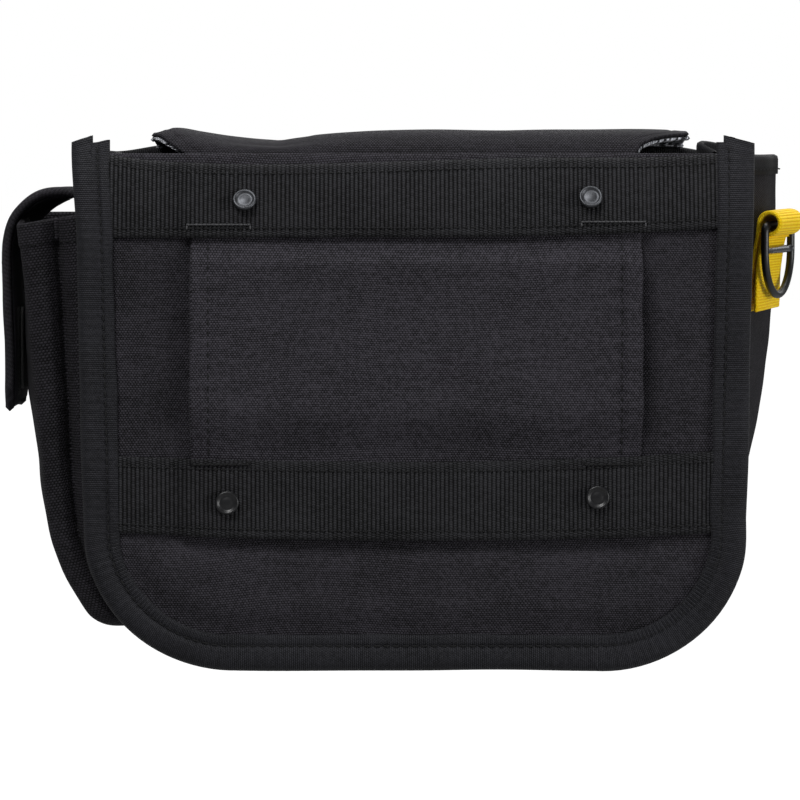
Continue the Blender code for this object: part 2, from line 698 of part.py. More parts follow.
def build_ring_tab():
    """A folded webbing tab on the right wall, rolled round the ring's straight side."""
    line = [(1.4, TAB_BOTTOM), (1.8, 24.2), (2.4, 31.2), (3.6, 35.4)]
    line += arc((RING_OUT, RING_Z), ROLL_RADIUS, 175.0, -115.0, 12)
    line += [(5.4, 30.5), (5.0, 24.2), (4.8, TAB_BOTTOM)]
    outline = ribbon(line, -TAB_THICKNESS / 2.0, TAB_THICKNESS / 2.0)
    up = Vector((0.0, 0.0, 1.0))
    frames = [(TAB_BASE + TAB_ACROSS * side * TAB_WIDTH / 2.0, TAB_OUT, up) for side in (-1, 1)]
    new_object("d_ring_tab", sweep(outline, frames), "yellow_webbing")


def build_ring():
    """A round-wire D ring with a second bar; its straight side lies in the tab's roll."""
    bend = 2.5
    half = RING_HALF_WIDTH
    path = arc((half - bend, -bend), bend, 90.0, 0.0, 3)
    path += arc((0.0, -RING_LEG), half, 0.0, -180.0, 14)
    path += arc((bend - half, -bend), bend, 180.0, 90.0, 3)
    up = Vector((0.0, 0.0, 1.0))
    points = [RING_AXIS + TAB_ACROSS * u + up * v for u, v in path]
    frames = []
    for i, point in enumerate(points):
        ahead = (points[(i + 1) % len(points)] - points[i - 1]).normalized()
        frames.append((point, TAB_OUT, ahead.cross(TAB_OUT)))
    ring = new_object("d_ring", sweep(circle(RING_WIRE), frames, closed=True), "black_metal", 60)
    bar_ends = [RING_AXIS + TAB_ACROSS * u - up * RING_LEG for u in (-half, half)]
    bar_frames = [(end, TAB_OUT, up) for end in bar_ends]
    bar = new_object("d_ring_bar", sweep(circle(RING_BAR), bar_frames), "black_metal", 60)
    joint_empty("d_ring_pivot", RING_AXIS, [ring, bar])
    boolean(ring, bar, "UNION")


# ---------------------------------------------------------------- main flap

def flap_edges(y):
    """The flap's left and right edges at a depth: narrow at its seam, wide past the mouth."""
    share = min(1.0, max(0.0, (y - FLAP_ROOT_Y) / FLAP_WIDENS_OVER))
    left = FLAP_ROOT_LEFT + (FLAP_LEFT - FLAP_ROOT_LEFT) * share
    right = FLAP_ROOT_RIGHT + (FLAP_RIGHT - FLAP_ROOT_RIGHT) * share
    return left, right


def build_flap_anchor():
    """The flap's sewn edge inside the mouth, on the back lining."""
    low, high = 52.4, 60.6
    anchor = box((FLAP_ROOT_LEFT, FLAP_ROOT_RIGHT), (LINING_FRONT + GAP, LINING_FRONT + 1.6),
                 (low, high))
    new_object("flap_anchor", lean_forward(anchor), "black_fabric")


def build_flap_top():
    """The flap's first half, over the mouth: shell and lining."""
    profile = [(FLAP_ROOT_Y, 62.8), (18.8, 66.4), (23.0, 69.0), (FLAP_ROOT_Y + 13.0, FLAP_TOP_Z),
               (86.0, FLAP_TOP_Z), (93.0, 68.6), (97.2, 64.8)]
    pieces = []
    for name, low, high, material in (("flap_top_shell", 0.0, SHELL, "black_fabric"),
                                      ("flap_top_lining", SHELL + 0.3, SHELL + 0.3 + LINING,
                                       "heather_lining")):
        outline = ribbon(profile, -low, -high)
        count = len(profile)
        near = outline[:count]
        far = outline[count:][::-1]
        frames = []
        for i, (y, _) in enumerate(profile):
            left, right = flap_edges(y)
            frames.append((left, right, near[i], far[i]))
        pieces.append(new_object(name, strip_between(frames), material))
    joint_empty("flap_lift_pivot", FLAP_LIFT_AXIS, pieces)


def strip_between(frames):
    """A closed strip from frames (left, right, upper (y, z), lower (y, z))."""
    bm = bmesh.new()
    rings = []
    for left, right, upper, lower in frames:
        corners = [(left, *upper), (right, *upper), (right, *lower), (left, *lower)]
        rings.append([bm.verts.new(corner) for corner in corners])
    for first, second in zip(rings, rings[1:]):
        for i in range(4):
            j = (i + 1) % 4
            bm.faces.new((first[i], first[j], second[j], second[i]))
    bm.faces.new(rings[0])
    bm.faces.new(rings[-1])
    bmesh.ops.recalc_face_normals(bm, faces=bm.faces[:])
    return bm


def flap_front_outline(inset):
    """The front half's outline (x, z), with round lower corners."""
    low = FLAP_FRONT_BOTTOM + FLAP_CORNER
    radius = FLAP_CORNER - inset
    right = arc((FLAP_RIGHT - FLAP_CORNER, low), radius, -90.0, 0.0, 6)
    left = arc((FLAP_LEFT + FLAP_CORNER, low), radius, 180.0, 270.0, 6)
    return [(FLAP_LEFT + inset, FLAP_FRONT_TOP)] + left + right + [(FLAP_RIGHT - inset,
                                                                    FLAP_FRONT_TOP)]


def build_flap_front():
    """The flap's second half, down the front: lining, shell, pocket, zip tape and fasteners."""
    pieces = []
    for name, back, thickness, inset, material in (
            ("flap_front_lining", FLAP_FRONT_LINING, LINING, 0.0, "heather_lining"),
            ("flap_front_shell", FLAP_FRONT_SHELL, SHELL, 0.0, "black_fabric")):
        layer = prism(flap_front_outline(inset), "Y", back, back + thickness)
        pieces.append(new_object(name, layer, material))
    panel = box((ZIP_LEFT, ZIP_RIGHT), (ZIP_Y, ZIP_Y + FABRIC), (-25.0, ZIP_Z - ZIP_HALF_TAPE - 0.5))
    pieces.append(new_object("flap_pocket_panel", panel, "black_fabric"))
    tape = box((ZIP_LEFT, ZIP_RIGHT), (ZIP_Y, ZIP_Y + TAPE),
               (ZIP_Z - ZIP_HALF_TAPE, ZIP_Z + ZIP_HALF_TAPE))
    pieces.append(new_object("zip_tape", tape, "black_tape"))
    chain_back = ZIP_Y + TAPE + GAP
    chain = box((ZIP_LEFT + 3.0, ZIP_RIGHT - 3.0), (chain_back, chain_back + 1.2),
                (ZIP_Z - 1.0, ZIP_Z + 1.0))
    pieces.append(new_object("zip_chain", chain, "zip_plastic"))
    for name, side in (("left", -1.0), ("right", 1.0)):
        hook = box(sorted((side * 22.0, side * 68.0)),
                   (FLAP_FRONT_LINING - GAP - PATCH + 0.2, FLAP_FRONT_LINING - GAP), (-26.0, 6.0))
        pieces.append(new_object("flap_hook_patch_" + name, hook, "hook_and_loop"))
    joint_empty("flap_fold_pivot", FLAP_FOLD_AXIS, pieces)


def build_zip_slider():
    """The slider round the zip's teeth, with two lugs and a pin, and the pull that swings there."""
    back = ZIP_Y + TAPE + 0.3
    inner, front = back + 1.7, back + 2.9
    section = [(back, ZIP_Z - 2.3), (front, ZIP_Z - 2.3), (front, ZIP_Z + 2.3), (back, ZIP_Z + 2.3),
               (back, ZIP_Z + 1.4), (inner, ZIP_Z + 1.4), (inner, ZIP_Z - 1.4), (back, ZIP_Z - 1.4)]
    slider = new_object("zip_slider", prism(section, "X", SLIDER_X - 4.5, SLIDER_X + 4.5),
                        "black_metal")
    additions = []
    for side in (-1.0, 1.0):
        span = sorted((SLIDER_X + side * 2.2, SLIDER_X + side * 3.2))
        lug = box(span, (front - 0.4, PULL_PIN_Y + 1.2), (ZIP_Z - 1.2, ZIP_Z + 1.2))
        additions.append(new_object("slider_lug" + ("_a" if side < 0.0 else "_b"), lug,
                                    "black_metal"))
    across, depth, up = Vector((1, 0, 0)), Vector((0, 1, 0)), Vector((0, 0, 1))
    centre = Vector(PULL_AXIS)
    pin_frames = [(centre + across * x, depth, up) for x in (-2.7, 2.7)]
    additions.append(new_object("slider_pin", sweep(circle(0.6), pin_frames), "black_metal"))
    joint_empty("zip_slide_pivot", (SLIDER_X, ZIP_Y, ZIP_Z), [slider] + additions)
    for addition in additions:
        boolean(slider, addition, "UNION")

    neck, blade, tip = 1.8, 4.2, ZIP_Z - 24.0
    outline = [(-neck, -0.2), (-neck, -4.0), (-blade, -6.5), (-blade, tip - ZIP_Z), (blade, tip - ZIP_Z),
               (blade, -6.5), (neck, -4.0), (neck, -0.2)]
    plate = prism([(SLIDER_X + x, ZIP_Z + z) for x, z in outline], "Y", PULL_PIN_Y - 0.5,
                  PULL_PIN_Y + 0.6)
    pull = new_object("zip_pull", plate, "black_metal")
    eye_frames = [(centre + across * x, depth, up) for x in (-neck, neck)]
    eye = new_object("pull_eye", sweep(circle(1.7, 12), eye_frames), "black_metal")
    hole_frames = [(centre + across * x, depth, up) for x in (-3.0, 3.0)]
    hole = new_object("pull_hole", sweep(circle(1.0, 12), hole_frames), "black_metal")
    joint_empty("zip_pull_pivot", PULL_AXIS, [pull, eye, hole])
    boolean(pull, eye, "UNION")
    boolean(pull, hole, "DIFFERENCE")


def build():
    """Build the whole pouch."""
    clear_scene()
    layers = build_back_layers()
    build_back_binding()
    layers.append(build_belt_sleeve())
    layers.extend(build_webbings())
    build_rivets(layers)
    build_gusset()
    build_front()
    build_mouth_tapes()
    build_front_pockets()
    build_inner_pocket()
    build_tool_loops()
    build_side_pocket()
    build_side_flap()
    build_ring_tab()
    build_ring()
    build_flap_anchor()
    build_flap_top()
    build_flap_front()
    build_zip_slider()


build()
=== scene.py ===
"""The looks of the electrician tool pouch: its cloth, webbing, thread, metal and light.

Shapes are worked out in millimetres, in the CAD model's frame, and turned into metres when a
mesh is made.  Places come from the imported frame; the outline's formulas are the CAD's own.
"""

import math

import bpy
import numpy as np
from mathutils import Matrix, Vector


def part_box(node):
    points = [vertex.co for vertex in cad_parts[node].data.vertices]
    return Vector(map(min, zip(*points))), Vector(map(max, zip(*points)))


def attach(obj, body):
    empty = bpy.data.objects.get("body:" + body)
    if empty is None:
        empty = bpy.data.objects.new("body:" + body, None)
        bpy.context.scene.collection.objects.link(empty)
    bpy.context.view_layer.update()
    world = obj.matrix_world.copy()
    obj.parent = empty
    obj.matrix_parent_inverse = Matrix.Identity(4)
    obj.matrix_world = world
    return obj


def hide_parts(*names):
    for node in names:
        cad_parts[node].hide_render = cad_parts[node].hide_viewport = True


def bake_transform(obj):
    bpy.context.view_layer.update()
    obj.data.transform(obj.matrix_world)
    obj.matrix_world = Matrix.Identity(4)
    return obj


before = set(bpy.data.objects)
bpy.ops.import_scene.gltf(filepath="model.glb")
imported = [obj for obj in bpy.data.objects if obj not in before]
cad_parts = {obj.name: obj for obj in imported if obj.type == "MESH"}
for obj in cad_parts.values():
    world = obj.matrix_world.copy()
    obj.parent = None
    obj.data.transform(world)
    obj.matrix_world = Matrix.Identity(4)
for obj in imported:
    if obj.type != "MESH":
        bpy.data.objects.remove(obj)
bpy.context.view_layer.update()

MM = 0.001
TAU = 2.0 * math.pi


def box_mm(node):
    """Lowest and highest corner of a CAD node, in millimetres."""
    low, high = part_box(node)
    return np.array(low) / MM, np.array(high) / MM


# ---------------------------------------------------------------- sizes from the frame

BINDING_LOW, _ = box_mm("back_binding")
PANEL_LOW, _ = box_mm("back_panel")
_, GUSSET_HIGH = box_mm("gusset")

# The back's outline and lean, as the CAD has them
CORNER_RADIUS = 47.0
CORNER_Z = BINDING_LOW[2] + CORNER_RADIUS
BASE_HALF_WIDTH = 104.5
CORNER_X = BASE_HALF_WIDTH - CORNER_RADIUS
TOP_HALF_WIDTH = 107.0
BACK_TOP = 64.6
LEAN_START = 30.0
LEAN_RATE = 0.00814
PANEL_Y = PANEL_LOW[1]
LINING_FRONT = 6.9

# The gusset's swell: the CAD's formula, a little fuller at the right
GUSSET_INSET = 11.7
GUSSET_BACK = LINING_FRONT + 0.5
GUSSET_FRONT = GUSSET_HIGH[1]
GUSSET_TOP = GUSSET_HIGH[2]
GUSSET_FULLEST = 0.76
LEFT_BULGE = 12.0
RIGHT_BULGE_LOW = 12.0
RIGHT_BULGE_HIGH = 23.0
BULGE_TOP_Z = 55.0
BULGE_GROWTH = 3.0
BOTTOM_BULGE = 5.0


def lean(z):
    """How far the back stands forward at height z."""
    return LEAN_RATE * np.maximum(0.0, z - LEAN_START) ** 2


def half_width(z):
    """Half the width of the back's outline above its corners."""
    rise = (z - CORNER_Z) / (BACK_TOP - CORNER_Z)
    return BASE_HALF_WIDTH + rise * (TOP_HALF_WIDTH - BASE_HALF_WIDTH)


def row_half_width(z, inset):
    """Half the width of the outline, inset from its edge, at any height."""
    if z >= CORNER_Z:
        return half_width(z) - inset
    radius = CORNER_RADIUS - inset
    drop = min(CORNER_Z - z, radius)
    return CORNER_X + math.sqrt(radius ** 2 - drop ** 2)


# ---------------------------------------------------------------- shape helpers

def smooth(t):
    """0 to 1 with level ends."""
    t = np.clip(t, 0.0, 1.0)
    return t * t * (3.0 - 2.0 * t)


def bump(t):
    """0 at both ends of 0..1 and 1 in the middle, with level ends."""
    t = np.clip(t, 0.0, 1.0)
    return np.sin(math.pi * t) ** 2


def ripple(a, b, wavelength, seed):
    """Smooth unevenness, about -1 to 1: a few crossing waves with fixed random directions."""
    random = np.random.default_rng(seed)
    total = np.zeros(np.broadcast(a, b).shape)
    waves = 7
    for _ in range(waves):
        turn = random.uniform(0.0, TAU)
        length = wavelength * random.uniform(0.7, 1.7)
        phase = random.uniform(0.0, TAU)
        total = total + np.sin(TAU * (a * math.cos(turn) + b * math.sin(turn)) / length + phase)
    return total / math.sqrt(2.0 * waves)


def curve_through(points, count):
    """A smooth curve through a few points, sampled evenly by its length."""
    points = np.array(points, float)
    padded = np.vstack([2 * points[0] - points[1], points, 2 * points[-1] - points[-2]])
    fine = []
    steps = 24
    for i in range(1, len(padded) - 2):
        p0, p1, p2, p3 = padded[i - 1:i + 3]
        for t in np.arange(steps) / steps:
            fine.append(0.5 * (2 * p1 + (p2 - p0) * t + (2 * p0 - 5 * p1 + 4 * p2 - p3) * t ** 2
                               + (3 * p1 - p0 - 3 * p2 + p3) * t ** 3))
    fine.append(points[-1])
    return resample(np.array(fine), count)


def resample(points, count):
    """The same line with evenly spaced points."""
    points = np.array(points, float)
    steps = np.linalg.norm(np.diff(points, axis=0), axis=1)
    along = np.concatenate([[0.0], np.cumsum(steps)])
    wanted = np.linspace(0.0, along[-1], count)
    return np.stack([np.interp(wanted, along, points[:, k]) for k in range(points.shape[1])], axis=1)


def lengths_along(grid, axis):
    """Distance along a grid's rows (axis 1) or columns (axis 0), from its first point."""
    steps = np.linalg.norm(np.diff(grid, axis=axis), axis=2)
    return np.concatenate([np.zeros_like(np.take(steps, [0], axis=axis)),
                           np.cumsum(steps, axis=axis)], axis=axis)


def grid_normals(grid):
    """Unit normals of a grid of points: across its rows, then down its columns."""
    du = np.gradient(grid, axis=1)
    dv = np.gradient(grid, axis=0)
    normals = np.cross(du, dv)
    size = np.linalg.norm(normals, axis=2, keepdims=True)
    return normals / np.maximum(size, 1e-9)


def make_object(name, verts, faces, material, uvs=None):
    """A smooth-shaded object from points in millimetres, its faces turned to face out."""
    verts = np.asarray(verts, float) * MM
    mesh = bpy.data.meshes.new(name)
    mesh.from_pydata(verts.tolist(), [], faces)
    mesh.validate()
    if signed_volume(mesh) < 0.0:
        mesh.flip_normals()
    if uvs is not None:
        layer = mesh.uv_layers.new(name="cloth")
        index = np.zeros(len(mesh.loops), np.int64)
        mesh.loops.foreach_get("vertex_index", index)
        layer.data.foreach_set("uv", (np.asarray(uvs) * MM)[index].astype(np.float32).ravel())
    mesh.shade_smooth()
    mesh.materials.append(material)
    obj = bpy.data.objects.new(name, mesh)
    bpy.context.scene.collection.objects.link(obj)
    return obj


def signed_volume(mesh):
    """Positive where a closed mesh's faces point out."""
    mesh.calc_loop_triangles()
    corners = np.zeros(len(mesh.loop_triangles) * 3, np.int64)
    mesh.loop_triangles.foreach_get("vertices", corners)
    points = np.zeros(len(mesh.vertices) * 3)
    mesh.vertices.foreach_get("co", points)
    tri = points.reshape(-1, 3)[corners.reshape(-1, 3)]
    return float(np.einsum("ij,ij->i", tri[:, 0], np.cross(tri[:, 1], tri[:, 2])).sum())


def fit(piece, body, slot, *nodes):
    """The body that a piece moves with and the CAD nodes it stands for; slot, its material slot, is not
    used.
    """
    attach(piece, body)
    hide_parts(*nodes)


def loft_faces(rings, around, closed_ends=False, caps=True):
    """Quads between rings of points, numbered ring by ring, each ring a closed loop."""
    faces = []
    last = rings if closed_ends else rings - 1
    for i in range(last):
        j = (i + 1) % rings
        for k in range(around):
            m = (k + 1) % around
            faces.append((i * around + k, i * around + m, j * around + m, j * around + k))
    if caps and not closed_ends:
        faces.append(tuple(range(around)))
        faces.append(tuple((rings - 1) * around + k for k in range(around))[::-1])
    return faces


def cloth(name, grid, thickness, material, uv=None, flip=False, lip=0.32):
    """A closed cloth sheet with rounded rims: its outer face is grid, its body lies behind it.

    grid is rows of points; the outer side is where the grid's normals point, or the other with
    flip.  thickness may be a number or an array of the grid's shape.  uv is (u, v) arrays in mm.
    """
    grid = np.asarray(grid, float)
    normals = grid_normals(grid) * (-1.0 if flip else 1.0)
    thick = np.broadcast_to(np.asarray(thickness, float), grid.shape[:2])[..., None]
    inner = grid - normals * thick
    rows, columns = grid.shape[:2]
    rim = rim_indices(rows, columns)
    outer_flat, inner_flat = grid.reshape(-1, 3), inner.reshape(-1, 3)
    middle = (outer_flat[rim] + inner_flat[rim]) / 2.0
    outward = rim_outward(grid)
    size = np.linalg.norm(outer_flat[rim] - inner_flat[rim], axis=1, keepdims=True)
    middle = middle + outward * size * lip
    total = rows * columns
    verts = np.vstack([outer_flat, inner_flat, middle])
    faces = []
    for i in range(rows - 1):
        for j in range(columns - 1):
            a = i * columns + j
            quad = (a, a + 1, a + columns + 1, a + columns)
            faces.append(quad)
            faces.append(tuple(total + k for k in quad[::-1]))
    count = len(rim)
    for k in range(count):
        m = (k + 1) % count
        a, b = int(rim[k]), int(rim[m])
        faces.append((b, a, 2 * total + k, 2 * total + m))
        faces.append((2 * total + m, 2 * total + k, total + a, total + b))
    if uv is None:
        u, v = lengths_along(grid, 1), lengths_along(grid, 0)
    else:
        u, v = np.broadcast_arrays(*uv)
    flat = np.stack([u.ravel(), v.ravel()], axis=1)
    around = float(np.mean(size))
    uvs = np.vstack([flat, flat + around, flat[rim] + around / 2.0])
    return make_object(name, verts, faces, material, uvs)


def rim_indices(rows, columns):
    """The grid's border, in order, as point numbers."""
    top = [j for j in range(columns)]
    right = [i * columns + columns - 1 for i in range(1, rows)]
    bottom = [(rows - 1) * columns + j for j in range(columns - 2, -1, -1)]
    left = [i * columns for i in range(rows - 2, 0, -1)]
    return np.array(top + right + bottom + left)


def rim_outward(grid):
    """At each border point, the unit direction that leaves the sheet along itself."""
    rows, columns = grid.shape[:2]
    across = np.zeros_like(grid)
    across[:, 0] += unit(grid[:, 0] - grid[:, 1])
    across[:, -1] += unit(grid[:, -1] - grid[:, -2])
    across[0, :] += unit(grid[0, :] - grid[1, :])
    across[-1, :] += unit(grid[-1, :] - grid[-2, :])
    return unit(across.reshape(-1, 3)[rim_indices(rows, columns)])


def unit(vectors):
    """Vectors scaled to length 1."""
    vectors = np.asarray(vectors, float)
    return vectors / np.maximum(np.linalg.norm(vectors, axis=-1, keepdims=True), 1e-9)


def path_frames(path, closed=False, up=None):
    """Tangents and two side directions along a path, turned as little as possible."""
    path = np.asarray(path, float)
    if closed:
        tangents = unit(np.roll(path, -1, axis=0) - np.roll(path, 1, axis=0))
    else:
        tangents = unit(np.gradient(path, axis=0))
    if up is not None:
        ups = np.broadcast_to(np.asarray(up, float), path.shape)
        across = unit(np.cross(tangents, ups))
        return tangents, across, np.cross(across, tangents)
    start = np.cross(tangents[0], (0.0, 0.0, 1.0))
    if np.linalg.norm(start) < 0.1:
        start = np.cross(tangents[0], (1.0, 0.0, 0.0))
    across = [unit(start)]
    for tangent in tangents[1:]:
        carried = across[-1] - tangent * np.dot(across[-1], tangent)
        across.append(unit(carried))
    across = np.array(across)
    return tangents, across, np.cross(across, tangents)


def sweep(name, path, profile, material, closed=False, up=None):
    """A closed solid with a profile (a across, b up) carried along a path."""
    path = np.asarray(path, float)
    profile = np.asarray(profile, float)
    _, across, lift = path_frames(path, closed, up)
    rings = path[:, None, :] + across[:, None, :] * profile[None, :, 0:1]
    rings = rings + lift[:, None, :] * profile[None, :, 1:2]
    around = np.linalg.norm(np.diff(profile, axis=0, append=profile[:1]), axis=1)
    v = np.concatenate([[0.0], np.cumsum(around)[:-1]])
    u = lengths_along(path[None, :, :], 1)[0]
    uvs = np.stack(np.broadcast_arrays(u[:, None], v[None, :]), axis=2).reshape(-1, 2)
    faces = loft_faces(len(path), len(profile), closed)
    return make_object(name, rings.reshape(-1, 3), faces, material, uvs)


def round_profile(radius, steps=12):
    """A round section."""
    turns = np.arange(steps) * TAU / steps
    return np.stack([np.cos(turns), np.sin(turns)], axis=1) * radius


def capsule_path_radii(length, radius, steps=4):
    """Stations along a thread stitch and its radius at each: thin ends, full middle."""
    t = np.linspace(-1.0, 1.0, 2 * steps + 1)
    return t * length / 2.0, radius * np.sqrt(np.maximum(0.02, 1.0 - t ** 4))


def stitch_row(path, normals, pitch=3.0, length=2.3, radius=0.24, sink=0.1, dip=0.22):
    """Stitches along a line: each is a thread that rises from the cloth and dives back in."""
    path, normals = np.asarray(path, float), np.asarray(normals, float)
    steps = np.linalg.norm(np.diff(path, axis=0), axis=1)
    along = np.concatenate([[0.0], np.cumsum(steps)])
    count = max(1, int(along[-1] / pitch))
    middles = (np.arange(count) + 0.5) * along[-1] / count
    offsets, radii = capsule_path_radii(length, radius)
    around = 6
    turns = np.arange(around) * TAU / around
    verts, faces = [], []
    for middle in middles:
        at = np.clip(middle + offsets, 0.0, along[-1])
        centre = np.stack([np.interp(at, along, path[:, k]) for k in range(3)], axis=1)
        normal = unit([np.interp(middle, along, normals[:, k]) for k in range(3)])
        ahead = unit(centre[-1] - centre[0])
        side = np.cross(ahead, normal)
        rise = (1.0 - (offsets / (length / 2.0)) ** 2)[:, None] * dip - sink
        centre = centre + normal * rise
        ring = (np.cos(turns)[None, :, None] * side + np.sin(turns)[None, :, None] * normal)
        points = (centre[:, None, :] + ring * radii[:, None, None]).reshape(-1, 3)
        base = len(verts)
        verts.extend(points.tolist())
        for face in loft_faces(len(offsets), around):
            faces.append(tuple(base + k for k in face))
    return verts, faces


def thread(name, rows, material, body):
    """One object from several stitch rows."""
    verts, faces = [], []
    for row_verts, row_faces in rows:
        base = len(verts)
        verts.extend(row_verts)
        faces.extend(tuple(base + k for k in face) for face in row_faces)
    obj = make_object(name, verts, faces, material)
    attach(obj, body)
    return obj


def lathe(name, profile, matrix, material, steps=48):
    """A turned piece: (radius, height) pairs from axis to axis about local Z."""
    profile = np.asarray(profile, float)
    turns = np.arange(steps) * TAU / steps
    verts, faces = [], []
    top = (0.0, 0.0, profile[0, 1])
    low = (0.0, 0.0, profile[-1, 1])
    rings = profile[1:-1]
    for radius, height in rings:
        for turn in turns:
            verts.append((radius * math.cos(turn), radius * math.sin(turn), height))
    count = len(rings)
    for i in range(count - 1):
        for k in range(steps):
            m = (k + 1) % steps
            faces.append((i * steps + k, i * steps + m, (i + 1) * steps + m, (i + 1) * steps + k))
    verts.extend([top, low])
    for k in range(steps):
        m = (k + 1) % steps
        faces.append((len(verts) - 2, m, k))
        faces.append((len(verts) - 1, (count - 1) * steps + k, (count - 1) * steps + m))
    placed = [matrix @ Vector(vert) for vert in verts]
    return make_object(name, [tuple(point) for point in placed], faces, material)


# ---------------------------------------------------------------- shader arithmetic

class Field:
    """A number in a shader graph, so that a pattern reads as arithmetic."""

    def __init__(self, graph, socket):
        self.graph = graph
        self.socket = socket

    def join(self, operation, *others):
        """This number and others through one operation."""
        return self.graph.maths(operation, self, *others)

    def __add__(self, other):
        return self.join("ADD", other)

    def __sub__(self, other):
        return self.join("SUBTRACT", other)

    def __mul__(self, other):
        return self.join("MULTIPLY", other)

    def __truediv__(self, other):
        return self.join("DIVIDE", other)

    def __rsub__(self, other):
        return self.graph.maths("SUBTRACT", other, self)

    __radd__ = __add__
    __rmul__ = __mul__


class Graph:
    """The nodes of one material, round a Principled shader."""

    def __init__(self, name):
        self.material = bpy.data.materials.new(name)
        self.material.use_nodes = True
        self.nodes = self.material.node_tree.nodes
        self.links = self.material.node_tree.links
        self.shader = self.nodes["Principled BSDF"]

    def node(self, kind, **settings):
        """A new node with some of its settings."""
        made = self.nodes.new(kind)
        for name, value in settings.items():
            setattr(made, name, value)
        return made

    def put(self, value, socket):
        """Links a field or socket to a socket, or sets a plain number or colour."""
        if isinstance(value, Field):
            value = value.socket
        if isinstance(value, bpy.types.NodeSocket):
            self.links.new(value, socket)
        else:
            socket.default_value = value

    def maths(self, operation, *values):
        """One operation on numbers or fields."""
        made = self.node("ShaderNodeMath", operation=operation)
        for value, socket in zip(values, made.inputs):
            self.put(value, socket)
        return Field(self, made.outputs[0])

    def uv(self):
        """Lengths across and along the cloth, in millimetres."""
        split = self.node("ShaderNodeSeparateXYZ")
        self.links.new(self.node("ShaderNodeUVMap", uv_map="cloth").outputs[0], split.inputs[0])
        return Field(self, split.outputs[0]) / MM, Field(self, split.outputs[1]) / MM

    def place(self):
        """Where a point is on its own piece, in millimetres."""
        split = self.node("ShaderNodeSeparateXYZ")
        self.links.new(self.node("ShaderNodeTexCoord").outputs["Object"], split.inputs[0])
        return tuple(Field(self, split.outputs[k]) / MM for k in range(3))

    def vector(self, *parts):
        """Up to three numbers joined into a vector."""
        made = self.node("ShaderNodeCombineXYZ")
        for part, socket in zip(parts, made.inputs):
            self.put(part, socket)
        return made.outputs[0]

    def noise(self, parts, size, detail=2.0, rough=0.5):
        """Cloudy unevenness, about 0.5 on average, with patches about size mm across."""
        made = self.node("ShaderNodeTexNoise")
        self.links.new(self.vector(*parts), made.inputs["Vector"])
        made.inputs["Scale"].default_value = 1.0 / size
        made.inputs["Detail"].default_value = detail
        made.inputs["Roughness"].default_value = rough
        return Field(self, made.outputs[0])

    def chance(self, *parts):
        """A fixed random number for each whole-number cell."""
        made = self.node("ShaderNodeTexWhiteNoise", noise_dimensions="3D")
        self.links.new(self.vector(*parts), made.inputs["Vector"])
        return Field(self, made.outputs[0])

    def step(self, value, low, high):
        """0 below low, 1 above high, smooth between."""
        made = self.node("ShaderNodeMapRange", interpolation_type="SMOOTHSTEP")
        self.put(value, made.inputs["Value"])
        made.inputs["From Min"].default_value = low
        made.inputs["From Max"].default_value = high
        return Field(self, made.outputs[0])

    def mix(self, factor, first, second):
        """A colour between two."""
        made = self.node("ShaderNodeMix", data_type="RGBA")
        self.put(factor, made.inputs[0])
        self.put(first, made.inputs[6])
        self.put(second, made.inputs[7])
        return made.outputs[2]

    def finish(self, colour, rough, height=None, depth=0.2, **others):
        """Sets the shader; height, 0 to 1, stands for depth mm of relief."""
        self.put(colour, self.shader.inputs["Base Color"])
        self.put(rough, self.shader.inputs["Roughness"])
        for name, value in others.items():
            self.put(value, self.shader.inputs[name.replace("_", " ")])
        if height is not None:
            made = self.node("ShaderNodeBump")
            made.inputs["Strength"].default_value = 1.0
            made.inputs["Distance"].default_value = depth * MM
            self.put(height, made.inputs["Height"])
            self.links.new(made.outputs[0], self.shader.inputs["Normal"])
        return self.material


def grey(level, blue=1.0, red=1.0):
    """A near-neutral colour."""
    return (level * red, level, level * blue, 1.0)


def dot_weave(graph, u, v, across, along):
    """Rows of raised thread crossings, each row shifted by half: their height, and each one's luck."""
    row = (v / along).join("FLOOR")
    shifted = u / across + row * 0.5
    column = shifted.join("FLOOR")
    x = shifted.join("FRACT") * 2.0 - 1.0
    y = (v / along).join("FRACT") * 2.0 - 1.0
    height = (1.0 - x * x) * (1.0 - y * y)
    return height, graph.chance(column, row, 0.5)


def woven(name, dark, light, across=0.94, along=0.70, rough=0.72, blue=1.22, patch=1.0, depth=0.20):
    """Coated oxford cloth: a close weave of dots, uneven in shade, a little shiny on its crowns, with
    painted light on the crowns and painted shade in the hollows.
    """
    g = Graph(name)
    u, v = g.uv()
    height, luck = dot_weave(g, u, v, across, along)
    cloud = g.noise((u, v, 3.0), 26.0, 3.0)
    streak = g.noise((u * 0.12, v * 1.6, 7.0), 2.4, 2.0)
    # painted light and shade: thread crowns (height) are painted lighter and the hollows darker; luck,
    # cloud and streak are the cloth's own uneven tone
    shade = height * 0.78 + luck * 0.30 + (cloud - 0.5) * 0.55 * patch + (streak - 0.5) * 0.3
    shade = g.step(shade, 0.0, 1.05)
    scuffs = g.step(g.noise((u, v, 11.0), 5.0, 6.0, 0.7), 0.66, 0.80)
    colour = g.mix(shade, grey(dark, blue, 1.08), grey(light, blue, 1.08))
    colour = g.mix(scuffs * height * 0.35, colour, grey(light * 2.1, blue))
    gloss = rough - height * 0.12 + (cloud - 0.5) * 0.16
    relief = height * 0.85 + luck * 0.15
    return g.finish(colour, gloss, relief, depth, Specular_IOR_Level=0.12, Sheen_Weight=0.02,
                    Sheen_Roughness=0.5)


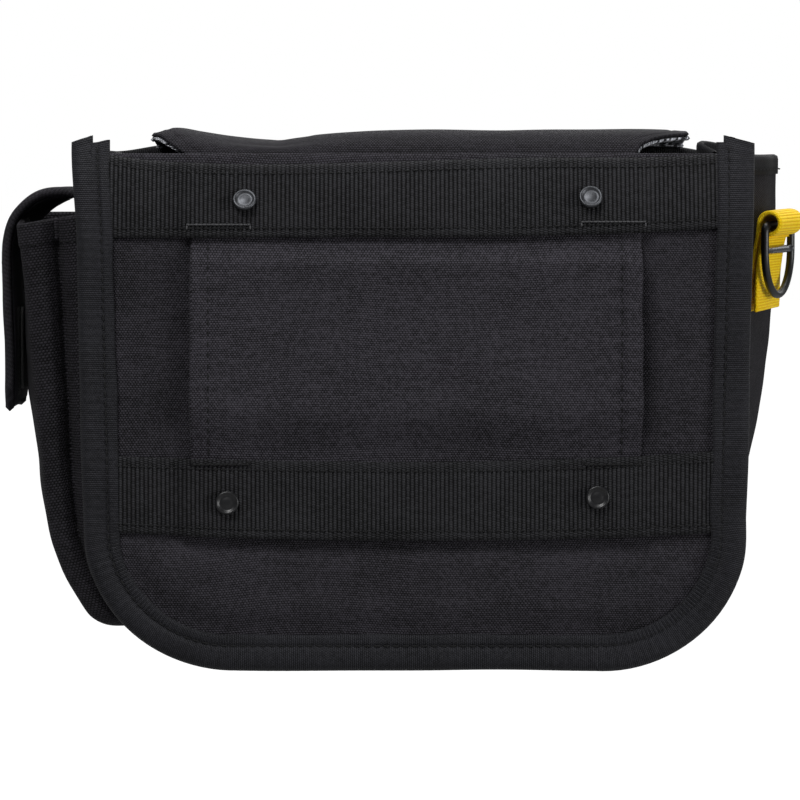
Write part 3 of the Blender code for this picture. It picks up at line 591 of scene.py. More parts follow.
def ribbed(name, dark, light, rib=1.35, dot=0.78, rough=0.66, blue=1.12, selvedge=2.4, width=25.1,
           depth=0.30, tint=None, spec=0.12):
    """Ribbed webbing or tape: ribs across it, each a row of thread loops, with a tighter edge, its grooves
    painted darker as painted shade.
    """
    g = Graph(name)
    u, v = g.uv()
    phase = (u / rib).join("FRACT") * 2.0 - 1.0
    ridge = 1.0 - phase * phase
    rib_number = (u / rib).join("FLOOR")
    shift = rib_number.join("MULTIPLY", 0.5).join("FRACT")
    loop = (v / dot + shift).join("FRACT") * 2.0 - 1.0
    loops = 1.0 - loop * loop
    luck = g.chance(rib_number, (v / dot + shift).join("FLOOR"), 2.5)
    edge = g.step((v - width / 2.0).join("ABSOLUTE"), width / 2.0 - selvedge - 0.3,
                  width / 2.0 - selvedge + 0.3)
    height = ridge * (0.55 + loops * 0.45)
    height = height * (1.0 - edge * 0.45) + loops * edge * 0.35
    cloud = g.noise((u, v, 5.0), 18.0, 3.0)
    fray = g.step(g.noise((u * 1.5, v * 1.5, 9.0), 1.2, 4.0, 0.6), 0.60, 0.74)
    # painted shade: grooves between ribs and loops (low height) are painted darker, crowns lighter; luck
    # and cloud are the tape's own uneven tone
    shade = g.step(height * 0.9 + luck * 0.25 + (cloud - 0.5) * 0.5, 0.26, 1.05)
    if tint is None:
        low, high, bright = grey(dark, blue), grey(light, blue), grey(light * 2.0, blue)
    else:
        low, high, bright = tint
    colour = g.mix(shade, low, high)
    colour = g.mix(fray * height * 0.4, colour, bright)
    gloss = rough - height * 0.12 + (cloud - 0.5) * 0.12
    return g.finish(colour, gloss, height, depth, Specular_IOR_Level=spec, Sheen_Weight=0.04)


def grosgrain(name, dark, light, rib=0.85, dot=0.6, depth=0.16, rough=0.62, blue=1.2):
    """Fine ribbed binding tape, folded and a little crushed."""
    return ribbed(name, dark, light, rib, dot, rough, blue, selvedge=0.0, width=400.0, depth=depth)


def heathered(name):
    """Black and white heathered lining, knitted from mixed threads, with painted shade in the knit's
    hollows.
    """
    g = Graph(name)
    u, v = g.uv()
    height, luck = dot_weave(g, u, v, 0.95, 1.15)
    patch = g.noise((u, v * 0.5, 1.0), 2.2, 3.0, 0.6)
    pick = g.step(luck * 0.75 + patch * 0.6, 0.48, 0.62)
    colour = g.mix(pick, (0.022, 0.023, 0.028, 1.0), (0.80, 0.82, 0.88, 1.0))
    # painted shade: the hollows between knitted crowns are darkened toward black
    colour = g.mix((1.0 - height) * 0.55, colour, (0.012, 0.012, 0.014, 1.0))
    return g.finish(colour, 0.86, height, 0.35, Specular_IOR_Level=0.2, Sheen_Weight=0.2)


def painted_metal(name, colour, bright, rough, metallic=1.0, coat=0.0):
    """Metal with fine scratches and worn, brighter patches."""
    g = Graph(name)
    x, y, z = g.place()
    cloud = g.noise((x, y, z), 2.6, 4.0, 0.6)
    scratch = g.noise((x * 5.0, y, z * 0.6), 0.7, 3.0, 0.7)
    worn = g.step(g.noise((x, y, z + 40.0), 1.1, 5.0, 0.7), 0.58, 0.72)
    shade = g.mix(worn * 0.5, colour, bright)
    shade = g.mix(cloud * 0.35, shade, tuple(0.5 * c for c in colour[:3]) + (1.0,))
    gloss = rough + (cloud - 0.5) * 0.22 + worn * 0.08
    return g.finish(shade, gloss, scratch, 0.012, Metallic=metallic, Coat_Weight=coat,
                    Coat_Roughness=0.12)


def thread_material(name, level, light):
    """Bonded thread with its twist, its twist grooves painted darker as painted shade."""
    g = Graph(name)
    x, y, z = g.place()
    twist = ((x + y * 0.7 + z) / 0.42).join("FRACT") * 2.0 - 1.0
    height = 1.0 - twist * twist
    cloud = g.noise((x, y, z), 1.5, 3.0)
    # painted shade: the twist's grooves are painted darker and its crowns lighter; cloud is the thread's
    # own tone
    colour = g.mix(height * 0.6 + cloud * 0.4, grey(level, 1.05), grey(light, 1.05))
    return g.finish(colour, 0.6, height, 0.05, Specular_IOR_Level=0.15, Sheen_Weight=0.03)


def moulded(name, dark, light, rough=0.42):
    """Moulded plastic with flow marks."""
    g = Graph(name)
    x, y, z = g.place()
    cloud = g.noise((x, y, z), 4.0, 4.0)
    grain = g.noise((x, y, z), 0.35, 2.0)
    colour = g.mix(cloud, grey(dark, 1.05), grey(light, 1.05))
    return g.finish(colour, rough + (cloud - 0.5) * 0.2, grain, 0.02, Specular_IOR_Level=0.5)


def fuzzy(name, dark, light, pitch=0.9, depth=0.45):
    """Hook-and-loop tape: rows of hooks or a mat of loops, their tops painted lighter than the hollows as
    painted light and shade.
    """
    g = Graph(name)
    x, y, z = g.place()
    height, luck = dot_weave(g, x + y, z, pitch, pitch)
    tangle = g.noise((x, y, z), 0.5, 4.0, 0.7)
    # painted light and shade: hook and loop tops (height) painted lighter than the hollows; luck and tangle
    # are the tape's own uneven tone
    colour = g.mix(height * 0.5 + luck * 0.3 + tangle * 0.3, grey(dark), grey(light))
    return g.finish(colour, 0.85, height * 0.6 + tangle * 0.6, depth, Specular_IOR_Level=0.25,
                    Sheen_Weight=0.15)


BLACK_CLOTH = woven("black_cloth", 0.002, 0.040)
SLEEVE_CLOTH = woven("sleeve_cloth", 0.002, 0.052, patch=0.7)
FLAP_CLOTH = woven("flap_cloth", 0.003, 0.031, patch=0.8)
# painted shade: the side pocket's cloth is a darker copy of the black cloth, for the side turned from the
# light; its coarser weave is the pocket's own
SIDE_CLOTH_SHADED = woven("side_cloth_painted_shade", 0.001, 0.024, across=1.25, along=0.86, depth=0.24)
# painted shade: the gusset's cloth is the black cloth made darker, for the walls in shadow
GUSSET_CLOTH_SHADED = woven("gusset_cloth_painted_shade", 0.001, 0.024)
INNER_CLOTH = woven("inner_cloth", 0.006, 0.030, across=0.6, along=0.6, depth=0.08)
BLACK_WEBBING = ribbed("black_webbing", 0.0002, 0.0255)
# the first tint colour is the yellow darkened as painted shade in the rib grooves
YELLOW_WEBBING = ribbed("yellow_webbing", 0.0, 0.0, rib=0.9, dot=0.7, depth=0.2, rough=0.6,
                        selvedge=1.6, width=25.4, spec=0.06,
                        tint=((0.90, 0.52, 0.0, 1.0), (1.0, 0.74, 0.02, 1.0),
                              (1.0, 0.82, 0.14, 1.0)))
BINDING_TAPE = grosgrain("binding_tape", 0.003, 0.024, rib=0.62, dot=0.8, depth=0.14)
EDGE_TAPE = grosgrain("edge_tape", 0.001, 0.009, rib=0.7, dot=0.5)
HEATHERED = heathered("heathered_lining")
BLACK_THREAD = thread_material("black_thread", 0.004, 0.014)
GREY_THREAD = thread_material("grey_thread", 0.03, 0.10)
GUNMETAL = painted_metal("gunmetal", (0.085, 0.088, 0.095, 1.0), (0.26, 0.265, 0.28, 1.0), 0.46)
BLACK_METAL = painted_metal("black_metal", (0.003, 0.003, 0.004, 1.0), (0.010, 0.010, 0.012, 1.0),
                            0.38, metallic=0.0, coat=0.1)
ZIP_PLASTIC = moulded("zip_plastic", 0.012, 0.022)
BOARD = moulded("stiffener_board", 0.16, 0.24, rough=0.8)
HOOK_TAPE = fuzzy("hook_tape", 0.010, 0.035, pitch=0.9)
LOOP_TAPE = fuzzy("loop_tape", 0.012, 0.040, pitch=0.5)


# ---------------------------------------------------------------- the back

def spaced(low, high, step):
    """Evenly spaced numbers from low to high, about step apart."""
    return np.linspace(low, high, max(2, int(round((high - low) / step)) + 1))


def edge_distance(x, z, inset=0.0):
    """How far inside the back's outline a point is."""
    side = half_width(z) - np.abs(x)
    over_x = np.maximum(np.abs(x) - CORNER_X, 0.0)
    under_z = np.maximum(CORNER_Z - z, 0.0)
    corner = CORNER_RADIUS - np.hypot(over_x, under_z)
    return np.where(z < CORNER_Z, corner, side) - inset


def outline(inset, top, spacing=1.0):
    """The back's outline from its left top, round the bottom, to its right top: points, outward."""
    points, outward = [], []
    for z in spaced(CORNER_Z, top, spacing)[::-1]:
        points.append((-(half_width(z) - inset), z))
        outward.append((-1.0, 0.0))
    radius = CORNER_RADIUS - inset
    turns = spaced(0.0, math.pi / 2, spacing / CORNER_RADIUS)[1:]
    for turn in turns:
        way = (-math.cos(turn), -math.sin(turn))
        points.append((-CORNER_X + way[0] * radius, CORNER_Z + way[1] * radius))
        outward.append(way)
    for x in spaced(-CORNER_X, CORNER_X, spacing)[1:]:
        points.append((x, CORNER_Z - radius))
        outward.append((0.0, -1.0))
    for turn in turns[::-1]:
        way = (math.cos(turn), -math.sin(turn))
        points.append((CORNER_X + way[0] * radius, CORNER_Z + way[1] * radius))
        outward.append(way)
    for z in spaced(CORNER_Z, top, spacing)[1:]:
        points.append((half_width(z) - inset, z))
        outward.append((1.0, 0.0))
    return np.array(points), np.array(outward)


WEBBING_WIDTH = 25.1
RIB = 1.35
SLEEVE_LEFT, SLEEVE_RIGHT = -70.1, 70.9
SLEEVE_RISE_Z = 34.6
HEM_X = 64.9


def webbing_edges(x, upper):
    """Height of a webbing's lower and upper edge at x: its ends ride up, its middle sags."""
    way = np.abs(x) / 92.0
    right = x > 0.0
    if upper:
        rightward = smooth((x + 50.0) / 100.0)
        high = 58.1 + 2.4 * way ** 6 + (2.2 - 1.4 * way ** 4) * rightward
        low = 35.5 + np.where(right, 2.5, -0.3) * way ** 2
    else:
        high = -34.8 - 0.4 + np.where(right, 3.0, 1.5) * way ** 2
        low = -59.9 + np.where(right, 2.0, 2.2) * way ** 2
    return low, high


def webbing_face(x, z):
    """How far back a webbing's outer face is: over the sleeve, beside it, under the binding."""
    side = smooth((np.abs(x) - 70.8) / 4.6)
    tuck = smooth((np.abs(x) - 86.0) / 10.0)
    return -1.35 + 1.85 * side + 1.05 * tuck + lean(z)


def sleeve_face(x, z):
    """How far back the sleeve's outer face is: a flat tube for the belt, sewn down top and bottom."""
    rise = smooth((SLEEVE_RISE_Z - np.abs(z)) / np.where(z > 0.0, 8.0, 17.0))
    crown = 1.0 - 0.12 * (np.abs(x) / 71.0) ** 2
    face = 0.95 - 4.75 * rise * crown
    hem = smooth((np.abs(x) - 64.8) / 1.2)
    groove = np.exp(-((np.abs(x) - HEM_X) / 0.7) ** 2)
    pucker = np.sin(TAU * z / 6.7 + 1.3 * np.sin(z / 9.0)) * np.exp(-((np.abs(x) - 64.0) / 4.5) ** 2)
    slack = ripple(x, z, 58.0, 4) * 0.34 + ripple(x, z, 21.0, 5) * 0.10
    return face - hem * 0.75 * rise + groove * 0.30 * rise - (pucker * 0.16 + slack) * rise + lean(z)


def panel_face(x, z):
    """How far back the back panel's face is: it swells between its seams."""
    inside = edge_distance(x, z, 11.0)
    seam = smooth(inside / 9.0)
    low_z = -60.5
    pillow = np.where(z < low_z, smooth((low_z - z) / 8.0), 0.0) * 1.5
    beside = bump((z + 35.0) / 70.0) * smooth((np.abs(x) - 70.0) / 9.0) * 1.0
    soft = ripple(x, z, 46.0, 12) * 0.34 + ripple(x, z, 17.0, 13) * 0.13
    pucker = pucker_ripples(x, z) * np.exp(-np.maximum(inside, 0.0) / 3.2) * 0.17
    under = np.exp(-np.maximum(inside, 0.0) / 1.5) * 0.15
    return PANEL_Y + lean(z) - seam * (pillow + beside + soft * 0.9 + 0.35) - pucker + under


def pucker_ripples(x, z):
    """Short ripples that cross the outline, as where a tight seam gathers cloth."""
    around = np.where(z < CORNER_Z, CORNER_RADIUS * np.arctan2(np.abs(x) - CORNER_X, CORNER_Z - z),
                      CORNER_RADIUS * math.pi / 2 + (z - CORNER_Z))
    around = np.where((z < CORNER_Z) & (np.abs(x) < CORNER_X), np.abs(x) - CORNER_X, around)
    return np.sin(TAU * around / 5.3 + 1.7 * np.sin(around / 11.0))


def warped(x, z, seed, amount=1.1):
    """Lengths across and along a cloth whose weave has been pulled a little askew."""
    u = x + ripple(x, z, 70.0, seed) * amount + ripple(x, z, 30.0, seed + 1) * amount * 0.3
    v = z + ripple(x, z, 80.0, seed + 2) * amount + ripple(x, z, 34.0, seed + 3) * amount * 0.3
    return u + 200.0, v + 200.0


def build_back_panel():
    """The outer cloth of the back, swollen between the webbings and the binding."""
    top = 61.5
    low = CORNER_Z - CORNER_RADIUS + 1.6
    zs = np.concatenate([low + (1.0 - np.cos(spaced(0.0, 1.0, 0.04) * math.pi / 2)) * 22.0,
                         spaced(low + 22.0, top, 1.2)[1:]])
    ts = spaced(-1.0, 1.0, 0.0125)
    half = np.array([row_half_width(z, 1.6) for z in zs])
    x = half[:, None] * ts[None, :]
    z = np.broadcast_to(zs[:, None], x.shape)
    y = panel_face(x, z)
    grid = np.stack([x, y, z], axis=2)
    piece = cloth("back_panel_cloth", grid, 0.8, BLACK_CLOTH, uv=warped(x, z, 30))
    fit(piece, "pouch", "black_fabric", "back_panel")


def build_sleeve():
    """The belt sleeve: a cloth tube between the webbings, open at both sides."""
    x, z = np.meshgrid(spaced(SLEEVE_LEFT, SLEEVE_RIGHT, 0.8), spaced(-55.5, 55.5, 0.75))
    y = sleeve_face(x, z)
    frayed = ripple(x * 0.2, z, 16.0, 44) * 0.28 * smooth((np.abs(x) - 66.0) / 5.0) * np.sign(x)
    grid = np.stack([x + frayed, y, z], axis=2)
    thick = 1.0 + 0.7 * smooth((np.abs(x) - 64.8) / 1.2) * smooth((34.0 - np.abs(z)) / 4.0)
    piece = cloth("belt_sleeve_cloth", grid, thick, SLEEVE_CLOTH, uv=warped(x, z, 50, 0.7))
    fit(piece, "pouch", "black_fabric", "belt_sleeve")


def build_webbing(name, node, upper):
    """One of the two straps across the back, with its ribs as real ridges."""
    reach = 97.2 if upper else 96.0
    xs = spaced(-reach, reach, RIB / 6.0)
    ts = spaced(0.0, 1.0, 1.0 / 26.0)
    x, t = np.meshgrid(xs, ts)
    low, high = webbing_edges(x, upper)
    z = low + (high - low) * t
    v = t * WEBBING_WIDTH
    phase = ((x + 200.0) / RIB) % 1.0 * 2.0 - 1.0
    ridge = 1.0 - phase ** 2
    to_edge = np.minimum(v, WEBBING_WIDTH - v)
    selvedge = smooth((2.6 - to_edge) / 0.5)
    edge_roll = smooth((0.9 - to_edge) / 0.9) * 0.45
    sewn = np.exp(-((to_edge - 3.0) / 0.8) ** 2) * 0.22
    wave = ripple(x, z, 40.0, 61 + upper) * 0.22 + ripple(x, z, 15.0, 63 + upper) * 0.07
    y = webbing_face(x, z) - ridge * (0.17 - 0.10 * selvedge) + edge_roll + sewn - wave
    grid = np.stack([x, y, z], axis=2)
    thick = 1.35 - 0.5 * smooth((np.abs(x) - 86.0) / 10.0) - edge_roll * 0.8
    piece = cloth(name, grid, thick, BLACK_WEBBING, uv=(x + 200.0, v))
    fit(piece, "pouch", "black_tape", node)


# The binding's section: distance inward from the outline's edge, and how far forward
BINDING_FACE = ((-11.7, 1.85), (-11.3, 1.35), (-10.4, 1.15), (-9.2, 1.2), (-9.1, 1.2), (-8.4, 1.45),
                (-8.0, 1.75), (-7.5, 1.5), (-6.4, 1.05), (-6.2, 1.03), (-6.1, 1.02), (-4.6, 0.85),
                (-2.8, 1.0), (-1.3, 1.55), (-0.4, 2.5), (0.0, 3.8), (0.1, 4.9), (-0.1, 6.2),
                (-0.7, 7.5), (-1.9, 8.4), (-3.4, 8.9), (-5.2, 9.0), (-6.1, 8.95), (-6.2, 8.93),
                (-7.0, 8.8), (-7.9, 8.4), (-8.6, 8.7), (-9.1, 8.72), (-9.2, 8.73), (-10.0, 8.75),
                (-11.1, 8.6), (-11.5, 8.3))
BINDING_THICKNESS = 1.15
BOTTOM_FULLNESS = 0.9


def left_shift(x, z):
    """How far the binding's left side leans out toward its top."""
    return np.where(x < 0.0, 1.1 * smooth((z - 34.0) / 30.0), 0.0)


def binding_section():
    """The tape's closed section: its outer line, then the same line set inward, run backward."""
    face = np.array(BINDING_FACE)
    ahead = unit(np.gradient(face, axis=0))
    inside = face + BINDING_THICKNESS * np.stack([-ahead[:, 1], ahead[:, 0]], axis=1)
    inward = np.concatenate([-face[:, 0], -face[::-1, 0]])
    return np.vstack([face, inside[::-1]]), inward


def binding_extra(side, inward):
    """How much longer or shorter each strand of the binding is at its ragged top ends."""
    if side < 0:
        slope = -0.95 + 2.1 * np.minimum(inward, 6.1) / 6.1
        return slope - 2.3 * (inward > 6.15) + 0.9 * smooth((inward - 6.2) / 5.3)
    slope = -1.3 + 2.5 * np.minimum(inward, 9.1) / 9.1
    return slope - 2.2 * (inward > 9.15)


def build_binding():
    """Tape folded round the back's edge, its sewn lip gathered into short ribs at the corners."""
    points, outward = outline(0.0, 66.0, 0.32)
    profile, inward = binding_section()
    count = len(BINDING_FACE)
    around = np.linalg.norm(np.diff(profile, axis=0, append=profile[:1]), axis=1)
    v = np.concatenate([[0.0], np.cumsum(around)[:-1]])
    steps = np.linalg.norm(np.diff(points, axis=0), axis=1)
    along = np.concatenate([[0.0], np.cumsum(steps)])
    verts, uvs = [], []
    turning = np.abs(outward[:, 0] * outward[:, 1]) * 2.0
    for i, (x, z) in enumerate(points):
        nx, nz = outward[i]
        a = profile[:, 0].copy()
        b = profile[:, 1].copy()
        lip = smooth((-a - 7.6) / 1.0)
        face = np.arange(len(profile)) < count
        gather = math.sin(TAU * along[i] / 1.45 + 1.1 * math.sin(along[i] / 7.0))
        stitch = math.sin(TAU * along[i] / 3.0)
        depth = 0.05 + 0.15 * turning[i]
        b -= np.where(face & (b < 4.0), gather * depth * lip, 0.0)
        b -= np.where(face & (b < 4.0), stitch * 0.07 * (1.0 - lip), 0.0)
        unevenness = ripple(np.array(along[i]), v * 0.5, 34.0, 71) * 0.22
        b -= np.where(b < 4.0, unevenness, 0.0)
        a += np.where(a > -3.0, ripple(np.array(along[i]), 0.0 * v, 60.0, 72) * 0.3, 0.0)
        a += BOTTOM_FULLNESS * smooth(-nz * 3.0) + (1.0 if x > 0.0 else 0.3) * turning[i]
        a -= np.where(a < -10.5, ripple(np.array(along[i]), 0.0 * v, 26.0, 73) * 0.25 - 0.1, 0.0)
        cross = bump((abs(z) - 33.0) / 28.0 * 0.8 + 0.1) if 33.0 < abs(z) < 61.0 else 0.0
        b -= np.where(b < 3.2, cross * lip * 0.75, 0.0)
        near_top = smooth((z - 57.0) / 9.0)
        zs = z + nz * a + near_top * binding_extra(-1 if x < 0 else 1, inward)
        xs = x + nx * a - left_shift(x, z)
        ys = b + lean(zs)
        flare = near_top * 1.0 * smooth((-a - 5.5) / 2.0) * (b > 5.0)
        verts.append(np.stack([xs, ys + flare, zs], axis=1))
        uvs.append(np.stack([np.full(len(a), along[i]), v], axis=1))
    faces = loft_faces(len(points), len(profile), caps=False)
    last = len(points) * len(profile) - len(profile)
    for k in range(count - 1):
        end = (k, k + 1, len(profile) - 2 - k, len(profile) - 1 - k)
        faces.append(end)
        faces.append(tuple(last + index for index in end[::-1]))
    piece = make_object("back_binding_tape", np.vstack(verts), faces, BINDING_TAPE, np.vstack(uvs))
    fit(piece, "pouch", "black_tape", "back_binding")


def on_face(path, face, normal=(0.0, -1.0, 0.0)):
    """A seam line of (x, z) points laid on a face given as y = face(x, z)."""
    path = np.asarray(path, float)
    y = face(path[:, 0], path[:, 1])
    return np.stack([path[:, 0], y, path[:, 1]], axis=1), np.broadcast_to(normal, (len(path), 3))


def build_back_stitches():
    """Thread on the back: the binding's seam, the webbings' edges, the sleeve's hems, bar tacks."""
    rows = []
    points, outward = outline(8.0, 64.0, 1.0)
    points = points + outward * (BOTTOM_FULLNESS * smooth(-outward[:, 1] * 3.0))[:, None]
    points[:, 0] -= left_shift(points[:, 0], points[:, 1])
    line, normals = on_face(points, lambda x, z: 1.62 + lean(z))
    rows.append(stitch_row(line, normals, 3.0, 2.3, 0.26, sink=0.05))
    for upper in (True, False):
        xs = spaced(-95.0, 95.0, 1.0)
        low, high = webbing_edges(xs, upper)
        for zs in (low + 2.9, high - 2.9):
            line, normals = on_face(np.stack([xs, zs], axis=1), lambda x, z: webbing_face(x, z) - 0.02)
            rows.append(stitch_row(line, normals, 2.6, 2.0, 0.25, sink=0.05))
    thread("back_stitches", rows, BLACK_THREAD, "pouch")
    rows = []
    for x in (-HEM_X, HEM_X):
        zs = spaced(-33.6, 33.6, 1.0)
        line, normals = on_face(np.stack([np.full(len(zs), x), zs], axis=1), sleeve_face)
        rows.append(stitch_row(line, normals, 3.3, 2.5, 0.24, sink=0.02))
    for ends in ((-70.0, -52.0), (53.0, 71.5)):
        line, normals = on_face(tack_line(ends, -35.9, 1.4), lambda x, z: webbing_face(x, z) - 0.2)
        rows.append(stitch_row(line, normals, 1.35, 1.5, 0.3, sink=0.0))
    thread("sleeve_stitches", rows, BLACK_THREAD, "pouch")
    rows = []
    for ends, height in (((-71.5, -51.6), 39.4), ((52.2, 72.3), 40.3)):
        line, normals = on_face(tack_line(ends, height, -1.6), lambda x, z: webbing_face(x, z) - 0.2)
        rows.append(stitch_row(line, normals, 1.25, 1.4, 0.26, sink=0.0))
    thread("bar_tacks", rows, GREY_THREAD, "pouch")


def tack_line(ends, z, tick):
    """A short reinforcing seam with a small turn at its outer and inner end."""
    left, right = ends
    return resample([(left, z + tick), (left, z), (right, z), (right, z + tick)], 60)


def build_rivets():
    """Four pressed caps, a rolled rim round a dished ring and a low dome."""
    cap = ((0.0, 1.55), (0.8, 1.52), (1.5, 1.38), (2.0, 1.22), (2.45, 1.28), (2.8, 1.62), (3.1, 1.86),
           (3.4, 1.86), (3.62, 1.62), (3.72, 1.2), (3.7, 0.7), (3.5, 0.35), (3.2, 0.25), (0.0, 0.25))
    post = ((0.0, 1.6), (1.4, 1.55), (1.7, 1.3), (1.9, 0.9), (3.4, 0.75), (3.9, 0.45), (4.0, 0.1),
            (3.8, -0.05), (0.0, -0.1))
    places = (("upper_left", -53.4, 46.5, 20.0), ("upper_right", 55.1, 47.5, 13.0),
              ("lower_left", -59.0, -47.9, 2.0), ("lower_right", 57.4, -46.2, 2.0))
    for place, x, z, tip in places:
        upper = z > 0.0
        finish, slot = (GUNMETAL, "gunmetal") if upper else (BLACK_METAL, "black_metal")
        slope = math.atan(2.0 * LEAN_RATE * max(0.0, z - LEAN_START))
        turn = Matrix.Rotation(math.pi / 2 - slope - math.radians(tip), 4, "X")
        seat = Vector((x, webbing_face(np.array(x), z) - 0.15, z))
        piece = lathe(f"rivet_cap_{place}_turned", cap, Matrix.Translation(seat) @ turn, finish)
        fit(piece, "pouch", slot, f"rivet_cap_{place}")
        inner = Vector((x, LINING_FRONT + 0.25 + lean(z), z))
        about = Matrix.Rotation(-math.pi / 2 - slope, 4, "X")
        foot = lathe(f"rivet_post_{place}_turned", post, Matrix.Translation(inner) @ about, finish)
        fit(foot, "pouch", slot, f"rivet_post_{place}")


# ---------------------------------------------------------------- the gusset and its mouth

def spline(control, count):
    """Count points on a smooth curve through control points of any kind, evenly by parameter."""
    control = np.asarray(control, float)
    padded = np.concatenate([2 * control[:1] - control[1:2], control, 2 * control[-1:] - control[-2:-1]])
    t = np.linspace(0.0, len(control) - 1.0, count)
    i = np.minimum(t.astype(int), len(control) - 2)
    f = (t - i).reshape((-1,) + (1,) * (control.ndim - 1))
    p0, p1, p2, p3 = padded[i], padded[i + 1], padded[i + 2], padded[i + 3]
    return 0.5 * (2 * p1 + (p2 - p0) * f + (2 * p0 - 5 * p1 + 4 * p2 - p3) * f ** 2
                  + (3 * p1 - p0 - 3 * p2 + p3) * f ** 3)


GUSSET_DEEP = 74.0
SLACK_SPAN = 75.0


def gusset_bulge(x, z, nz):
    """How far the gusset swells past its seam at its fullest."""
    rise = np.clip((z - CORNER_Z) / (BULGE_TOP_Z - CORNER_Z), 0.0, 1.0)
    fullness = 1.0 - (1.0 - rise) ** BULGE_GROWTH
    right = RIGHT_BULGE_LOW + fullness * (RIGHT_BULGE_HIGH - RIGHT_BULGE_LOW)
    side = np.where(x > 0.0, right, LEFT_BULGE)
    return side + (BOTTOM_BULGE - side) * np.maximum(0.0, -nz)


def gusset_shape(s):
    """The swell's course from the back seam (0) to the front seam (1)."""
    past = (s - GUSSET_FULLEST) / (1.0 - GUSSET_FULLEST)
    return np.where(s < GUSSET_FULLEST, s / GUSSET_FULLEST, 1.0 - 0.4 * past ** 2)


def gusset_offset(x, z, nz, s):
    """How far the gusset's outer face stands outside the outline."""
    return gusset_bulge(x, z, nz) * gusset_shape(s) - GUSSET_INSET


def gusset_depth(z, s):
    """How far forward a point of the gusset is."""
    back = GUSSET_BACK + lean(z)
    return back + (GUSSET_FRONT - back) * s


def mouth_height(right, s):
    """How high the gusset's mouth edge stands: it buckles where the side folds inward."""
    if right:
        return GUSSET_TOP - 1.0 + 3.2 * bump((s - 0.02) / 0.36) - 1.6 * smooth((s - 0.30) / 0.12)
    return GUSSET_TOP - 1.4 + 0.6 * bump((s - 0.04) / 0.66) - 0.4 * s


def gusset_folds(x, z, s):
    """Soft vertical folds in the gusset's walls and a little slackness everywhere."""
    upper = smooth((z - 5.0) / 50.0)
    right = x > 0.0
    fold = np.where(right, np.sin(TAU * (s * 1.9 + 0.10) + 0.012 * z) * 1.0,
                    np.sin(TAU * (s * 1.6 + 0.35) + 0.01 * z) * 0.6)
    ends = bump(np.clip(s, 0.0, 1.0)) ** 0.5
    slack = ripple(s * SLACK_SPAN + x * 0.2, z + x * 0.6, 38.0, 81) * 0.55
    fine = ripple(s * SLACK_SPAN + x * 0.2, z + x * 0.6, 14.0, 82) * 0.16
    pleat = np.where(right, 9.0, 3.0) * bump((s - 0.01) / 0.34) * smooth((z - 28.0) / 32.0)
    return (fold * upper + slack + fine) * ends - pleat


def build_gusset():
    """The wall between back and front: two sides and the bottom in one strip."""
    points, outward = outline(0.0, 62.0, 1.3)
    x, z = points[:, 0], points[:, 1]
    nx, nz = outward[:, 0], outward[:, 1]
    s = spaced(0.0, 1.0, 1.0 / 56.0)[:, None]
    offset = gusset_offset(x, z, nz, s) + gusset_folds(x, z, s)
    top = np.where(x > 0.0, mouth_height(True, s), mouth_height(False, s))
    zz = np.broadcast_to(z, offset.shape)
    lift = (top - GUSSET_TOP) * smooth((zz - 30.0) / 32.0)
    depth = np.broadcast_to(gusset_depth(z, s), offset.shape)
    grid = np.stack([x + nx * offset, depth, z + nz * offset + lift], axis=2)
    steps = np.linalg.norm(np.diff(points, axis=0), axis=1)
    along = np.concatenate([[0.0], np.cumsum(steps)])
    uv = (np.broadcast_to(along + 10.0, offset.shape), np.broadcast_to(s * GUSSET_DEEP, offset.shape))
    # the gusset wears the darker, painted-shade copy of the black cloth
    piece = cloth("gusset_cloth_painted_shade", grid, 0.9, GUSSET_CLOTH_SHADED, uv=uv, flip=True)
    fit(piece, "pouch", "black_fabric", "gusset")
    mouth_tape("mouth_tape_left_folded", "mouth_tape_left", grid[:, 0], (-1.0, 0.0, 0.0))
    mouth_tape("mouth_tape_right_folded", "mouth_tape_right", grid[:, -1], (1.0, 0.0, 0.0))


RIM_SECTION = ((1.2, -5.2), (1.25, -2.5), (1.25, -0.4), (1.0, 0.6), (0.0, 1.1), (-1.0, 0.6),
               (-1.25, -0.4), (-1.25, -2.5), (-1.2, -5.2), (-0.95, -5.1), (-0.9, -0.5), (0.0, 0.35),
               (0.9, -0.5), (0.95, -5.1))


def mouth_tape(name, node, edge, outward):
    """Tape folded over a wall's top edge and sewn through."""
    path = resample(edge, max(8, int(np.linalg.norm(np.diff(edge, axis=0), axis=1).sum() / 0.9)))
    path = path - np.asarray(outward, float) * 0.45
    wobble = ripple(np.arange(len(path)) * 0.9, 0.0, 22.0, 90) * 0.18
    path[:, 2] += wobble
    tape = sweep(name, path, RIM_SECTION, EDGE_TAPE, up=(0.0, 0.0, 1.0))
    fit(tape, "pouch", "black_tape", node)
    for side in (1.0, -1.0):
        line = path + np.asarray(outward, float) * side * 1.62 - np.array([0.0, 0.0, 3.6])
        normals = np.broadcast_to(np.asarray(outward, float) * side, line.shape)
        stitches = stitch_row(line, normals, 2.8, 2.1, 0.23, sink=0.06)
        suffix = "outer" if side > 0 else "inner"
        thread(f"{name}_{suffix}_stitches", [stitches], BLACK_THREAD, "pouch")


# ---------------------------------------------------------------- side pocket and its strap

SIDE_POCKET_TOP = 41.0
SIDE_REACH_LOW = 12.5
SIDE_REACH_TOP = 18.3
SIDE_SHUT_TURN = 31.0
SIDE_END_TURN = 56.0


